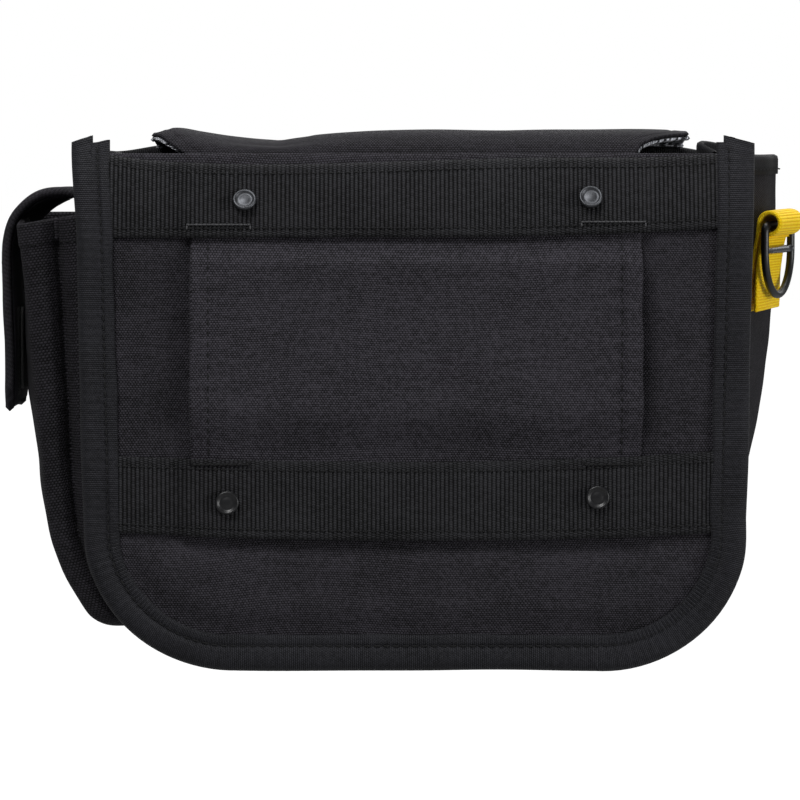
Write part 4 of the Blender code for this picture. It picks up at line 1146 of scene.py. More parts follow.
def side_pocket_rows():
    """Rows from mouth to bottom: path point, reach outward, closing 0 to 1."""
    rows = []
    for z in (SIDE_POCKET_TOP, 34.0, 26.0, 12.0, -2.0, -16.0, -30.0, -42.0, CORNER_Z):
        rise = (z - CORNER_Z) / (SIDE_POCKET_TOP - CORNER_Z)
        reach = SIDE_REACH_LOW + (SIDE_REACH_TOP - SIDE_REACH_LOW) * rise ** 0.75
        rows.append(((-half_width(z), z, -1.0, 0.0), reach, 0.0))
    for turn in (10.0, 20.0, SIDE_SHUT_TURN, 37.0, 43.0, 50.0, SIDE_END_TURN):
        way = math.radians(turn)
        nx, nz = -math.cos(way), -math.sin(way)
        point = (-CORNER_X + nx * CORNER_RADIUS, CORNER_Z + nz * CORNER_RADIUS, nx, nz)
        closing = max(0.0, turn - SIDE_SHUT_TURN) / (SIDE_END_TURN - SIDE_SHUT_TURN)
        rows.append((point, SIDE_REACH_LOW - 3.0 * min(1.0, turn / SIDE_SHUT_TURN), closing))
    return rows


def side_pocket_crown(z):
    """How far the pocket's outer face swells in the middle."""
    if z > -16.0:
        return 3.9 - 3.2 * (z + 16.0) / (SIDE_POCKET_TOP + 16.0)
    return max(0.5, 3.9 - 3.4 * (-16.0 - z) / 45.0)


# Each column: share of the way out, depth, depth once the bottom has closed, share of crown
SIDE_COLUMNS = ((0.0, 13.5, 13.5, 0.0), (0.22, 12.7, 14.6, 0.0), (0.42, 12.7, 15.9, 0.0),
                (0.50, 14.6, 16.6, 0.0), (0.56, 17.6, 17.4, 0.0), (0.63, 14.8, 18.1, 0.0),
                (0.74, 12.9, 18.8, 0.0), (0.9, 13.8, 19.6, 0.0), (0.985, 16.4, 21.0, 0.0),
                (1.0, 22.0, 24.0, 0.25), (1.0, 32.0, 33.0, 0.75), (1.0, 46.0, 46.0, 1.0),
                (1.0, 60.0, 60.0, 0.75), (1.0, 70.0, 69.0, 0.2), (0.96, 75.4, 73.0, 0.0),
                (0.6, 77.4, 76.0, 0.0), (0.0, 77.8, 77.8, 0.0))


def build_side_pocket():
    """A gathered pocket on the left wall, its rear wall creased down the middle."""
    control = []
    for (x, z, nx, nz), reach, closing in side_pocket_rows():
        shut = closing ** 2
        row = []
        wide = 1.4 * smooth((z - 8.0) / 30.0)
        for share, open_y, shut_y, crown_share in SIDE_COLUMNS:
            y = open_y + (shut_y - open_y) * shut
            s = (y - GUSSET_BACK - float(lean(z))) / (GUSSET_FRONT - GUSSET_BACK - float(lean(z)))
            wall = float(gusset_offset(x, z, nz, max(0.0, s))) + 0.6
            crown = side_pocket_crown(z) * crown_share * (1.0 - shut)
            rear = 1.0 - float(smooth((y - 15.0) / 14.0))
            offset = wall + (reach + wide * rear - wall) * share * (1.0 - shut) + 1.3 * shut + crown
            lip = rear * float(smooth((z - 24.0) / 17.0)) * (2.4 - 5.0 * share)
            row.append((x + nx * offset, y, z + nz * offset + lip))
        control.append(row)
    control = np.array(control)
    grid = np.swapaxes(spline(np.swapaxes(spline(control, 130), 0, 1), 150), 0, 1)
    u, v = lengths_along(grid, 1), lengths_along(grid, 0)
    normals = grid_normals(grid)
    mouth = smooth(v / 10.0)
    wall_ends = bump(np.linspace(0.0, 1.0, grid.shape[1])) ** 0.35
    swell = ripple(u, v, 44.0, 101) * 0.55 + ripple(u, v, 18.0, 102) * 0.2
    sag = np.sin(TAU * v / 31.0 + 0.06 * u) * 0.22 * smooth((v - 30.0) / 40.0)
    grid = grid + normals * ((swell + sag) * (0.35 + 0.65 * mouth) * wall_ends)[..., None]
    hem = smooth((8.0 - v) / 0.8)
    groove = np.exp(-((v - 7.2) / 0.6) ** 2) * 0.25
    grid = grid + normals * (hem * 0.35 - groove)[..., None]
    thick = 1.0 + hem * 0.9
    # the side pocket wears the darker, painted-shade copy of the black cloth
    piece = cloth("side_pocket_cloth", grid, thick, SIDE_CLOTH_SHADED, uv=warped(u, v, 110, 0.8))
    fit(piece, "pouch", "black_fabric", "side_pocket")
    row = int(np.argmin(np.abs(v[:, 75] - 6.6)))
    line = resample(grid[row], 220)
    out = unit(np.array([spline(grid_normals(grid)[row], 220)]))[0]
    thread("side_pocket_stitches", [stitch_row(line, out, 3.0, 2.3, 0.24, sink=0.04)], BLACK_THREAD,
           "pouch")


SIDE_FLAP_LINE = ((-103.5, 48.9), (-107.5, 50.0), (-112.0, 50.6), (-117.0, 50.2), (-121.4, 48.5),
                  (-125.7, 45.2), (-128.9, 41.0), (-130.8, 35.0), (-131.4, 27.0), (-130.7, 8.0),
                  (-130.4, -8.0), (-130.9, -19.6))
SIDE_FLAP_NEAR = 22.0
SIDE_FLAP_FAR = 68.0


def strap_tilt(y, bend, along):
    """How far the strap leans inward toward its front edge: most where it bends over the mouth."""
    far = (y - SIDE_FLAP_NEAR) / (SIDE_FLAP_FAR - SIDE_FLAP_NEAR)
    return far * (1.6 + 2.6 * bend) * smooth(along / 14.0)


def build_side_flap():
    """The strap that folds over the side pocket's mouth, with turned and sewn edges."""
    line = curve_through(SIDE_FLAP_LINE, 150)
    steps = np.linalg.norm(np.diff(line, axis=0), axis=1)
    along = np.concatenate([[0.0], np.cumsum(steps)])
    total = along[-1]
    ahead = unit(np.gradient(line, axis=0))
    out = np.stack([-ahead[:, 1], ahead[:, 0]], axis=1)
    out = out * np.sign(out[len(out) // 2, 0] * -1.0)
    ts = (1.0 - np.cos(np.linspace(0.0, math.pi, 44))) / 2.0
    corner = smooth((along - (total - 9.0)) / 9.0) ** 2 * 5.0
    near = SIDE_FLAP_NEAR + corner + ripple(along, 0.0, 60.0, 120) * 0.3
    far = SIDE_FLAP_FAR - corner + ripple(along, 0.0, 60.0, 121) * 0.3
    y = near[:, None] + (far - near)[:, None] * ts[None, :]
    across = np.minimum(y - near[:, None], far[:, None] - y)
    pad = smooth(across / 5.0) * 0.5 + ripple(y, along[:, None], 26.0, 122) * 0.2
    seam = np.exp(-((across - 3.4) / 0.7) ** 2) * 0.32
    bend = bump(along / 46.0)
    tilt = strap_tilt(y, bend[:, None], along[:, None])
    move = pad - seam - tilt
    face = np.stack([line[:, 0][:, None] + out[:, 0][:, None] * move,
                     y, line[:, 1][:, None] + out[:, 1][:, None] * move], axis=2)
    uv = (y + 100.0, np.broadcast_to(along[:, None] + 50.0, y.shape))
    thick = 1.9 + pad * 0.6 + 0.9 * np.exp(-(across / 2.6) ** 2)
    shell = cloth("side_flap_cloth", face, thick, FLAP_CLOTH, uv=uv, flip=strap_flip(face), lip=0.5)
    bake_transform(shell)
    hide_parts("side_flap_shell", "side_flap_anchor")
    keep = along > 9.0
    inner_share = 0.075 + 0.85 * ts
    y = near[:, None] + (far - near)[:, None] * inner_share[None, :]
    drop = 2.55 + strap_tilt(y, bend[:, None], along[:, None])
    under = np.stack([line[:, 0][:, None] - out[:, 0][:, None] * drop, y,
                      line[:, 1][:, None] - out[:, 1][:, None] * drop], axis=2)
    under, y = under[keep][:-3], y[keep][:-3]
    uv = (y, np.broadcast_to(along[keep][:-3][:, None], y.shape))
    lining = cloth("side_flap_lining_cloth", under, 0.7, INNER_CLOTH, uv=uv, flip=strap_flip(under))
    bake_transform(lining)
    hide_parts("side_flap_lining")
    rows = []
    for column in (1, -2):
        side = 3.4 if column == 1 else -3.4
        start = (near if column == 1 else far) + side
        path = np.stack([line[:, 0], start, line[:, 1]], axis=1)
        normals = np.stack([out[:, 0], np.zeros(len(out)), out[:, 1]], axis=1)
        path = path + normals * (-0.1 - strap_tilt(start, bend, along))[:, None]
        rows.append(stitch_row(path[18:-8], normals[18:-8], 3.0, 2.3, 0.2, sink=0.0))
    thread("side_flap_stitches", rows, BLACK_THREAD, "side_flap")


def strap_flip(face):
    """Whether a grid's own normals point toward the pouch and need turning."""
    middle = grid_normals(face)[face.shape[0] // 2, face.shape[1] // 2]
    return bool(middle[0] > 0.0)


# ---------------------------------------------------------------- yellow tab and its ring

TAB_TURN = math.radians(20.8)
TAB_ACROSS = np.array([math.sin(TAB_TURN), math.cos(TAB_TURN), 0.0])
TAB_OUT = np.array([math.cos(TAB_TURN), -math.sin(TAB_TURN), 0.0])
TAB_BASE = np.array([109.6, 47.5, 0.0])
UP = np.array([0.0, 0.0, 1.0])
TAB_WIDTH = 25.4
TAB_BOTTOM = 11.0
RING_OUT = 8.0
RING_Z = 38.2
RING_AXIS = TAB_BASE + TAB_OUT * RING_OUT + UP * RING_Z
ROLL_RADIUS = 3.4
ROLL_OUT = RING_OUT + 0.7
ROLL_Z = RING_Z + 0.7


def build_ring_tab():
    """A folded webbing tab, rolled round the ring's straight side and sewn below it."""
    turns = np.radians(np.linspace(175.0, -115.0, 15))
    roll = [(ROLL_OUT + ROLL_RADIUS * math.cos(t), ROLL_Z + ROLL_RADIUS * math.sin(t)) for t in turns]
    line = [(2.0, TAB_BOTTOM), (2.1, 18.0), (2.7, 24.0), (3.7, 29.0), (4.7, 34.0)] + roll
    line += [(6.1, 32.6), (5.3, 28.0), (4.6, 22.0), (4.3, TAB_BOTTOM)]
    line = curve_through(line, 430)
    steps = np.linalg.norm(np.diff(line, axis=0), axis=1)
    along = np.concatenate([[0.0], np.cumsum(steps)])
    ahead = unit(np.gradient(line, axis=0))
    out = np.stack([-ahead[:, 1], ahead[:, 0]], axis=1)
    half = TAB_WIDTH / 2.0
    ts = np.linspace(-half, half, 30)
    edge = smooth((np.abs(ts) - (half - 0.9)) / 0.9) * 0.4
    selvedge = smooth((np.abs(ts) - (half - 2.0)) / 0.5)
    phase = (along / 0.9) % 1.0 * 2.0 - 1.0
    ridge = (1.0 - phase ** 2)[:, None] * (0.09 - 0.05 * selvedge)[None, :]
    wave = ripple(along[:, None], ts[None, :], 13.0, 130) * 0.10
    lift = 0.72 + ridge - edge[None, :] + wave
    n = line[:, 0][:, None] + out[:, 0][:, None] * lift
    z = line[:, 1][:, None] + out[:, 1][:, None] * lift
    slant = 0.25 * smooth((18.0 - z) / 8.0) * ts[None, :] * 0.12
    grid = (TAB_BASE[None, None, :] + TAB_ACROSS[None, None, :] * ts[None, :, None]
            + TAB_OUT[None, None, :] * n[..., None] + UP[None, None, :] * (z + slant)[..., None])
    uv = (np.broadcast_to(along[:, None], n.shape), np.broadcast_to((ts + half)[None, :], n.shape))
    middle = grid_normals(grid)[215, 15]
    rolled_out = out[215, 0] * TAB_OUT + out[215, 1] * UP
    tab = cloth("d_ring_tab_webbing", grid, 1.3 - edge[None, :] * 0.9 + ridge, YELLOW_WEBBING, uv=uv,
                flip=bool(np.dot(middle, rolled_out) < 0.0))
    fit(tab, "pouch", "yellow_webbing", "d_ring_tab")


def build_ring():
    """A smooth round-wire D ring with its second bar."""
    wire, bar, bend, half, leg = 1.28, 1.2, 2.5, 14.5, 8.0
    turns = np.radians(np.linspace(90.0, 0.0, 10))
    path = [(half - bend + bend * math.cos(t), -bend + bend * math.sin(t)) for t in turns]
    turns = np.radians(np.linspace(0.0, -180.0, 64))
    path += [(half * math.cos(t), -leg + half * math.sin(t)) for t in turns]
    turns = np.radians(np.linspace(180.0, 90.0, 10))
    path += [(bend - half + bend * math.cos(t), -bend + bend * math.sin(t)) for t in turns]
    path += [(x, 0.0) for x in np.linspace(bend - half, half - bend, 14)[1:-1]]
    points = np.array([RING_AXIS + TAB_ACROSS * a + UP * b for a, b in path])
    ring = sweep("d_ring_wire", points, round_profile(wire, 20), BLACK_METAL, closed=True,
                 up=tuple(TAB_OUT))
    ends = [RING_AXIS + TAB_ACROSS * a - UP * leg for a in (-half, half)]
    cross = sweep("d_ring_bar", resample(ends, 6), round_profile(bar, 20), GUNMETAL_BAR, up=tuple(TAB_OUT))
    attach(ring, "d_ring")
    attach(cross, "d_ring")
    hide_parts("d_ring")


GUNMETAL_BAR = painted_metal("bar_metal", (0.06, 0.062, 0.068, 1.0), (0.2, 0.2, 0.21, 1.0), 0.28,
                             metallic=0.8, coat=0.4)


# ---------------------------------------------------------------- the front

def front_outline(out=0.0, top=62.0, spacing=1.2):
    """The front panel's outline: the gusset's front seam, or a line at a distance out from it."""
    points, outward = outline(0.0, top, spacing)
    x, z, nx, nz = points[:, 0], points[:, 1], outward[:, 0], outward[:, 1]
    offset = gusset_offset(x, z, nz, 1.0) + out
    return np.stack([x + nx * offset, z + nz * offset], axis=1)


def rows_between(line, zs, columns):
    """A grid of x and z between the two sides of a U-shaped outline."""
    lowest = int(np.argmin(line[:, 1] + 1e-4 * np.abs(line[:, 0])))
    left, right = line[:lowest + 1][::-1], line[lowest:]
    edge = line[:, 1].min() + 0.02
    flat = line[line[:, 1] < edge + 0.2]
    lefts = np.interp(zs, left[:, 1], left[:, 0])
    rights = np.interp(zs, right[:, 1], right[:, 0])
    lefts[0], rights[0] = flat[:, 0].min(), flat[:, 0].max()
    ts = np.linspace(0.0, 1.0, columns)
    x = lefts[:, None] + (rights - lefts)[:, None] * ts[None, :]
    return x, np.broadcast_to(zs[:, None], x.shape)


# The crease across the flap's top, left of its middle: place across, how far down it presses
CREASE = ((-110.0, -0.3), (-84.0, -0.7), (-75.5, -0.7), (-68.0, 0.7), (-60.0, 2.0), (-52.0, 2.8),
          (-46.5, 3.1), (-43.0, 3.2), (-38.5, 2.5), (-34.0, 1.9), (-31.0, 1.4), (-21.0, 0.7),
          (-6.0, 0.1), (30.0, -0.2), (110.0, 0.0))


def dent(x, y):
    """How far down the crease presses the flap's top at a place."""
    line = curve_through(CREASE, 200)
    return np.interp(x, line[:, 0], line[:, 1]) * (1.0 - 0.25 * smooth((y - 60.0) / 25.0))


def build_front_panel():
    """The front wall, its piping and its taped mouth."""
    line = front_outline()
    low = line[:, 1].min()
    zs = np.concatenate([low + (1.0 - np.cos(spaced(0.0, 1.0, 0.05) * math.pi / 2)) * 20.0,
                         spaced(low + 20.0, 61.8, 1.6)[1:]])
    x, z = rows_between(line, zs, 130)
    mouth = smooth((z - 40.0) / 22.0)
    y = 81.5 + ripple(x, z, 40.0, 140) * 0.35 * smooth((z - 22.0) / 10.0) * (1.0 - 0.5 * mouth)
    corners = 2.2 * smooth((np.abs(x) - 80.0) / 18.0)
    z_bent = z - mouth * (np.maximum(0.0, dent(x, 80.0)) * 0.95 + corners - 0.6)
    grid = np.stack([x, y, z_bent], axis=2)
    panel = cloth("front_panel_cloth", grid, 0.9, BLACK_CLOTH, uv=warped(x, z, 141), flip=True)
    fit(panel, "pouch", "black_fabric", "front_panel")
    mouth_tape("mouth_tape_front_folded", "mouth_tape_front", grid[-1, 1:-1], (0.0, 1.0, 0.0))
    path = front_outline(1.3, 59.0, 0.9)
    y = 80.8 + np.zeros(len(path))
    points = np.stack([path[:, 0], y, path[:, 1]], axis=1)
    piping = sweep("front_piping_cord", points, round_profile(1.65, 14), EDGE_TAPE)
    fit(piping, "pouch", "black_tape", "front_piping")


POCKET_INNER = 1.8
POCKET_OUTER = 90.0
POCKET_LOW = -86.0
POCKET_TOP = 22.0
POCKET_CORNER = 34.0


def quarter(t):
    """A quarter-round rise from 0 to 1."""
    t = np.clip(t, 0.0, 1.0)
    return np.sqrt(1.0 - (1.0 - t) ** 2)


def build_front_pocket(side, sign, seed):
    """A gathered patch pocket on the front: full and slack low down, flat under the flap."""
    low_rows = POCKET_LOW + (1.0 - np.cos(spaced(0.0, 1.0, 0.03) * math.pi / 2)) * 16.0
    zs = np.concatenate([low_rows, spaced(POCKET_LOW + 16.0, POCKET_TOP, 1.1)[1:]])
    drop = np.clip(POCKET_LOW + POCKET_CORNER - zs, 0.0, POCKET_CORNER)
    outer = POCKET_OUTER - POCKET_CORNER + np.sqrt(POCKET_CORNER ** 2 - drop ** 2)
    ts = (1.0 - np.cos(np.linspace(0.0, math.pi, 84))) / 2.0
    x = POCKET_INNER + (outer - POCKET_INNER)[:, None] * ts[None, :]
    z = np.broadcast_to(zs[:, None], x.shape)
    over_x = np.maximum(x - (POCKET_OUTER - POCKET_CORNER), 0.0)
    under_z = np.maximum(POCKET_LOW + POCKET_CORNER - z, 0.0)
    to_corner = POCKET_CORNER - np.hypot(over_x, under_z)
    to_outer = np.where(z < POCKET_LOW + POCKET_CORNER, np.minimum(to_corner, z - POCKET_LOW + over_x),
                        POCKET_OUTER - x)
    to_outer = np.where((z < POCKET_LOW + POCKET_CORNER) & (over_x <= 0.0), z - POCKET_LOW, to_outer)
    rise = quarter(to_outer / 9.0) * quarter((x - POCKET_INNER) / 8.0)
    full = smooth((-18.0 - z) / 30.0) * bump((x - POCKET_INNER) / (POCKET_OUTER - POCKET_INNER)) ** 0.6
    belly = full * smooth(to_outer / 26.0) * 4.2
    folds = ripple(x * 1.4, z, 40.0, seed) * 0.8 + ripple(x, z, 16.0, seed + 1) * 0.25
    free = smooth((-22.0 - z) / 12.0) * smooth(to_outer / 12.0)
    gather = np.sin(TAU * x / 7.0 + 2.0 * np.sin(x / 13.0)) * np.exp(-(z - POCKET_LOW) / 5.0) * 0.4
    y = 82.1 + 9.7 * rise + belly + folds * (0.12 + 0.88 * free) + gather * rise
    y = np.minimum(y, np.where(z > -34.0, 92.1, 98.5))
    grid = np.stack([sign * x, y, z], axis=2)
    piece = cloth(f"front_pocket_{side}_cloth", grid, 1.0, BLACK_CLOTH, uv=warped(sign * x, z, seed + 5),
                  flip=sign > 0)
    fit(piece, "pouch", "black_fabric", f"front_pocket_{side}")
    edge = grid[-1, 3:-3]
    name = f"front_pocket_tape_{side}"
    mouth_tape(f"{name}_folded", name, edge, (0.0, 1.0, 0.0))
    inset = 2.2
    seam_low = POCKET_LOW + inset
    seam = []
    for side_x, side_z in zip(outer[:-4], zs[:-4]):
        seam.append((side_x - inset if side_z > seam_low else side_x, max(side_z, seam_low)))
    bottom = [(xx, seam_low) for xx in spaced(4.0, outer[0], 2.0)]
    inner = [(POCKET_INNER + inset, zz) for zz in spaced(seam_low, POCKET_TOP - 6.0, 2.0)][::-1]
    path = resample(inner + bottom + seam[2:], 420)
    y_at = surface_lookup(x, z, y)
    line = np.array([(sign * px, y_at(px, pz) + 0.05, pz) for px, pz in path])
    rows = [stitch_row(line, np.broadcast_to((0.0, 1.0, 0.0), line.shape), 3.0, 2.3, 0.24, sink=0.0)]
    thread(f"front_pocket_{side}_stitches", rows, BLACK_THREAD, "pouch")


def surface_lookup(x, z, y):
    """A function that reads a gridded face's depth at the nearest grid point."""
    flat_x, flat_z, flat_y = x.ravel(), z.ravel(), y.ravel()

    def read(px, pz):
        return float(flat_y[np.argmin((flat_x - px) ** 2 + (flat_z - pz) ** 2)])

    return read


PATCHES = (
    ("front_loop_left", "front_loop_patch_left", "pouch", LOOP_TAPE, (0.0, 1.0, 0.0)),
    ("front_loop_right", "front_loop_patch_right", "pouch", LOOP_TAPE, (0.0, 1.0, 0.0)),
    ("side_loop", "side_pocket_loop_patch", "pouch", LOOP_TAPE, (-1.0, 0.0, 0.0)),
    ("side_hook", "side_flap_hook_patch", "side_flap", HOOK_TAPE, (1.0, 0.0, 0.0)),
    ("flap_hook_left", "flap_hook_patch_left", "flap_front", HOOK_TAPE, (0.0, -1.0, 0.0)),
    ("flap_hook_right", "flap_hook_patch_right", "flap_front", HOOK_TAPE, (0.0, -1.0, 0.0)))


def build_patch(name, node, body, finish, facing, seed):
    """A rectangle of hook-and-loop tape with rounded corners and a sewn border, in its CAD box."""
    low, high = box_mm(node)
    axis = 0 if abs(facing[0]) > 0.5 else 1
    side = 1 - axis
    face_at = high[axis] if facing[axis] > 0 else low[axis]
    width, tall = high[side] - low[side], high[2] - low[2]
    a, b = np.meshgrid(np.linspace(-1.0, 1.0, 60), np.linspace(-1.0, 1.0, 50))
    round_x = 1.0 - 0.05 * np.abs(b) ** 14
    round_z = 1.0 - 0.05 * np.abs(a) ** 14
    across = (low[side] + high[side]) / 2.0 + a * round_x * width / 2.0
    up = (low[2] + high[2]) / 2.0 + b * round_z * tall / 2.0
    border = np.minimum((1.0 - np.abs(a)) * width / 2.0, (1.0 - np.abs(b)) * tall / 2.0)
    pile = smooth((border - 1.2) / 0.8) * (0.18 + 0.05 * ripple(across, up, 1.7, seed))
    depth = face_at + facing[axis] * (pile - 0.15)
    parts = [None, None, up]
    parts[axis], parts[side] = depth, across
    grid = np.stack(parts, axis=2)
    normal = grid_normals(grid)[25, 30]
    piece = cloth(name, grid, (high[axis] - low[axis]) * 0.8, finish, flip=bool(np.dot(normal, facing) < 0))
    fit(piece, body, "hook_and_loop", node)


# ---------------------------------------------------------------- the main flap

FLAP_LEFT_ROOT, FLAP_RIGHT_ROOT = -69.6, 70.0
FLAP_LEFT, FLAP_RIGHT = -83.4, 86.9
FLAP_TOP_Z = 68.4
FLAP_END_Z = -34.0
FLAP_CORNER = 22.0
FLAP_SEAM = 64.0
FLAP_LINE = ((15.2, 52.0), (15.4, 56.0), (15.9, 60.0), (17.0, 62.8), (19.0, 65.2), (23.0, 67.4),
             (29.0, FLAP_TOP_Z), (38.0, FLAP_TOP_Z + 0.3), (47.0, FLAP_TOP_Z), (57.0, FLAP_TOP_Z - 0.9),
             (68.0, FLAP_TOP_Z - 1.8), (80.0, FLAP_TOP_Z - 2.3), (88.0, 65.4), (93.4, 64.0),
             (96.4, 61.0), (97.6, 56.5), (97.8, 49.0), (97.8, 34.0), (97.7, 18.0), (97.6, 0.0),
             (97.7, -16.0), (97.8, FLAP_END_Z))


def flap_edges(y, z):
    """The flap's left and right edges: narrow at its seam, wide past the mouth."""
    climb = np.clip((z - 59.6) / (FLAP_TOP_Z - 59.6), 0.0, 1.0)
    left_share = np.where(y > 29.0, 1.0, climb)
    right_share = np.where(z < 60.0, 0.0, smooth((y - 16.2) / 12.5) ** 0.85)
    left = FLAP_LEFT_ROOT + (FLAP_LEFT - FLAP_LEFT_ROOT) * left_share
    right = FLAP_RIGHT_ROOT + (FLAP_RIGHT - FLAP_RIGHT_ROOT) * right_share
    return left, right


def flap_grid(line, columns, depth, inset=0.0):
    """A layer of the flap along part of its line, depth mm under the outer face."""
    y, z = line[:, 0], line[:, 1]
    ahead = unit(np.gradient(line, axis=0))
    out = np.stack([-ahead[:, 1], ahead[:, 0]], axis=1)
    left, right = flap_edges(y, z)
    fall = np.where(y > 90.0, np.clip(z - FLAP_END_Z, 0.0, FLAP_CORNER), FLAP_CORNER)
    pull = FLAP_CORNER - np.sqrt(np.maximum(0.0, FLAP_CORNER ** 2 - (FLAP_CORNER - fall) ** 2))
    left, right = left + pull + inset, right - pull - inset
    ts = np.linspace(0.0, 1.0, columns)
    ts = ts - 0.048 * np.sin(TAU * ts)
    x = left[:, None] + (right - left)[:, None] * ts[None, :]
    yy = np.broadcast_to(y[:, None], x.shape)
    zz = np.broadcast_to(z[:, None], x.shape)
    on_top = smooth((zz - 50.0) / 12.0) * smooth((yy - 15.5) / 7.0)
    press = dent(x, yy) * on_top
    to_edge = np.minimum(x - left[:, None], right[:, None] - x)
    from_left = x < 0.0
    droop = np.exp(-(to_edge / 4.0) ** 2) * smooth((yy - 20.0) / 8.0) * smooth((zz - 60.0) / 6.0)
    droop = droop * np.where(from_left, 1.5, 0.3)
    slack = ripple(x, yy + (70.0 - zz), 52.0, 160) * 0.26 + ripple(x, yy + (70.0 - zz), 20.0, 161) * 0.10
    move = slack - depth
    gy = yy + out[:, 0][:, None] * move
    gz = zz + out[:, 1][:, None] * move - press - droop
    along = np.concatenate([[0.0], np.cumsum(np.linalg.norm(np.diff(line, axis=0), axis=1))])
    u = x + 120.0
    v = np.broadcast_to(along[:, None] + 20.0, x.shape)
    return np.stack([x, gy, gz], axis=2), (u, v), to_edge


def flap_part(line, y_from=None, y_to=None):
    """Part of the flap's line, from or to a depth on its top."""
    keep = np.ones(len(line), bool)
    if y_from is not None:
        keep &= line[:, 0] >= y_from
    if y_to is not None:
        keep &= line[:, 0] <= y_to
    return line[keep]


def build_flap():
    """The flap's shell and lining, each cut in two at a lapped seam across the top."""
    line = curve_through(FLAP_LINE, 300)
    back = flap_part(line, y_to=FLAP_SEAM + 2.5)
    front = flap_part(line, y_from=FLAP_SEAM - 2.5)
    root_start, root_end = (0.0, 0.0158, 0.0585), (0.0, 0.0225, 0.0690)
    fold_start, fold_end = (0.0, 0.0880, 0.0660), (0.0, 0.0985, 0.0540)
    pieces = [
        ("flap_root_cloth", back, 0.0, 0.0, 1.15, FLAP_CLOTH, "pouch", "flap_top", root_start, root_end,
         ("flap_anchor", "flap_top_shell"), "black_fabric"),
        ("flap_root_lining", back, 1.35, -0.35, 1.15, HEATHERED, "pouch", "flap_top", root_start,
         root_end, ("flap_top_lining",), "heather_lining"),
        ("flap_front_cloth", front, 0.15, 0.0, 1.15, FLAP_CLOTH, "flap_top", "flap_front", fold_start,
         fold_end, ("flap_front_shell",), "black_fabric"),
        ("flap_front_lining_cloth", front, 1.5, -0.25, 1.1, HEATHERED, "flap_top", "flap_front",
         fold_start, fold_end, ("flap_front_lining",), "heather_lining"),
    ]
    made = {}
    for name, part, depth, inset, thick, finish, one, other, start, end, nodes, slot in pieces:
        grid, uv, to_edge = flap_grid(part, 190, depth, inset)
        seam = np.exp(-((to_edge - 4.6) / 0.7) ** 2) * 0.22 if depth < 1.0 else 0.0
        lap = {"flap_front_cloth": 0.95, "flap_front_lining_cloth": 1.2}.get(name, 0.0)
        sunk = smooth(FLAP_SEAM + 3.2 - part[:, 0])[:, None] * lap
        grid[..., 2] -= sunk * (part[:, 1] > 60.0)[:, None]
        normals = grid_normals(grid)
        flip = bool(np.dot(normals[len(part) // 2, 95], (0.0, 0.3, 1.0)) < 0.0)
        grid = grid - normals * (-1.0 if flip else 1.0) * np.broadcast_to(seam, grid.shape[:2])[..., None]
        piece = cloth(name, grid, thick, finish, uv=uv, flip=flip, lip=0.45)
        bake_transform(piece)
        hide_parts(*nodes)
        made[name] = (piece, grid, normals * (-1.0 if flip else 1.0), to_edge, part)
    build_flap_stitches(made)


def build_flap_stitches(made):
    """Topstitching on the flap: along its edges and both sides of the lapped seam."""
    _, grid, normals, to_edge, part = made["flap_root_cloth"]
    seam_row = int(np.argmin(np.abs(part[:, 0] - (FLAP_SEAM + 0.9))))
    rows = []
    for row in (seam_row, seam_row - 7):
        rows.append(stitch_row(grid[row], normals[row], 3.0, 2.3, 0.24, sink=0.02))
    thread("flap_seam_stitches", rows, BLACK_THREAD, "flap_top")
    _, grid, normals, to_edge, part = made["flap_front_cloth"]
    top = part[:, 1] > 63.0
    front_rows = np.where(~top & (part[:, 1] < 54.0))[0]
    path, out = [], []
    for row in front_rows:
        column = int(np.argmin(np.abs(to_edge[row] - 4.6) + 1e3 * (grid[row, :, 0] > 0)))
        path.append(grid[row, column])
        out.append(normals[row, column])
    limit = FLAP_END_Z + 4.6
    left = [(p, n) for p, n in zip(path, out) if p[2] > limit]
    bottom_row = int(np.argmin(np.abs(part[:, 1] - limit) + 1e3 * top))
    xs = grid[bottom_row, :, 0]
    inner = (xs > left[-1][0][0] + 1.0) & (xs < FLAP_RIGHT + FLAP_LEFT - left[-1][0][0] - 1.0)
    across = [(grid[bottom_row, k], normals[bottom_row, k]) for k in np.where(inner)[0]]
    right = []
    for row in front_rows[::-1]:
        column = int(np.argmin(np.abs(to_edge[row] - 4.6) + 1e3 * (grid[row, :, 0] < 0)))
        if grid[row, column][2] > limit:
            right.append((grid[row, column], normals[row, column]))
    both = left + across + right
    rows = [stitch_row(np.array([p for p, _ in both]), np.array([n for _, n in both]), 3.0, 2.3, 0.24,
                       sink=0.0)]
    thread("flap_edge_stitches", rows, BLACK_THREAD, "flap_front")


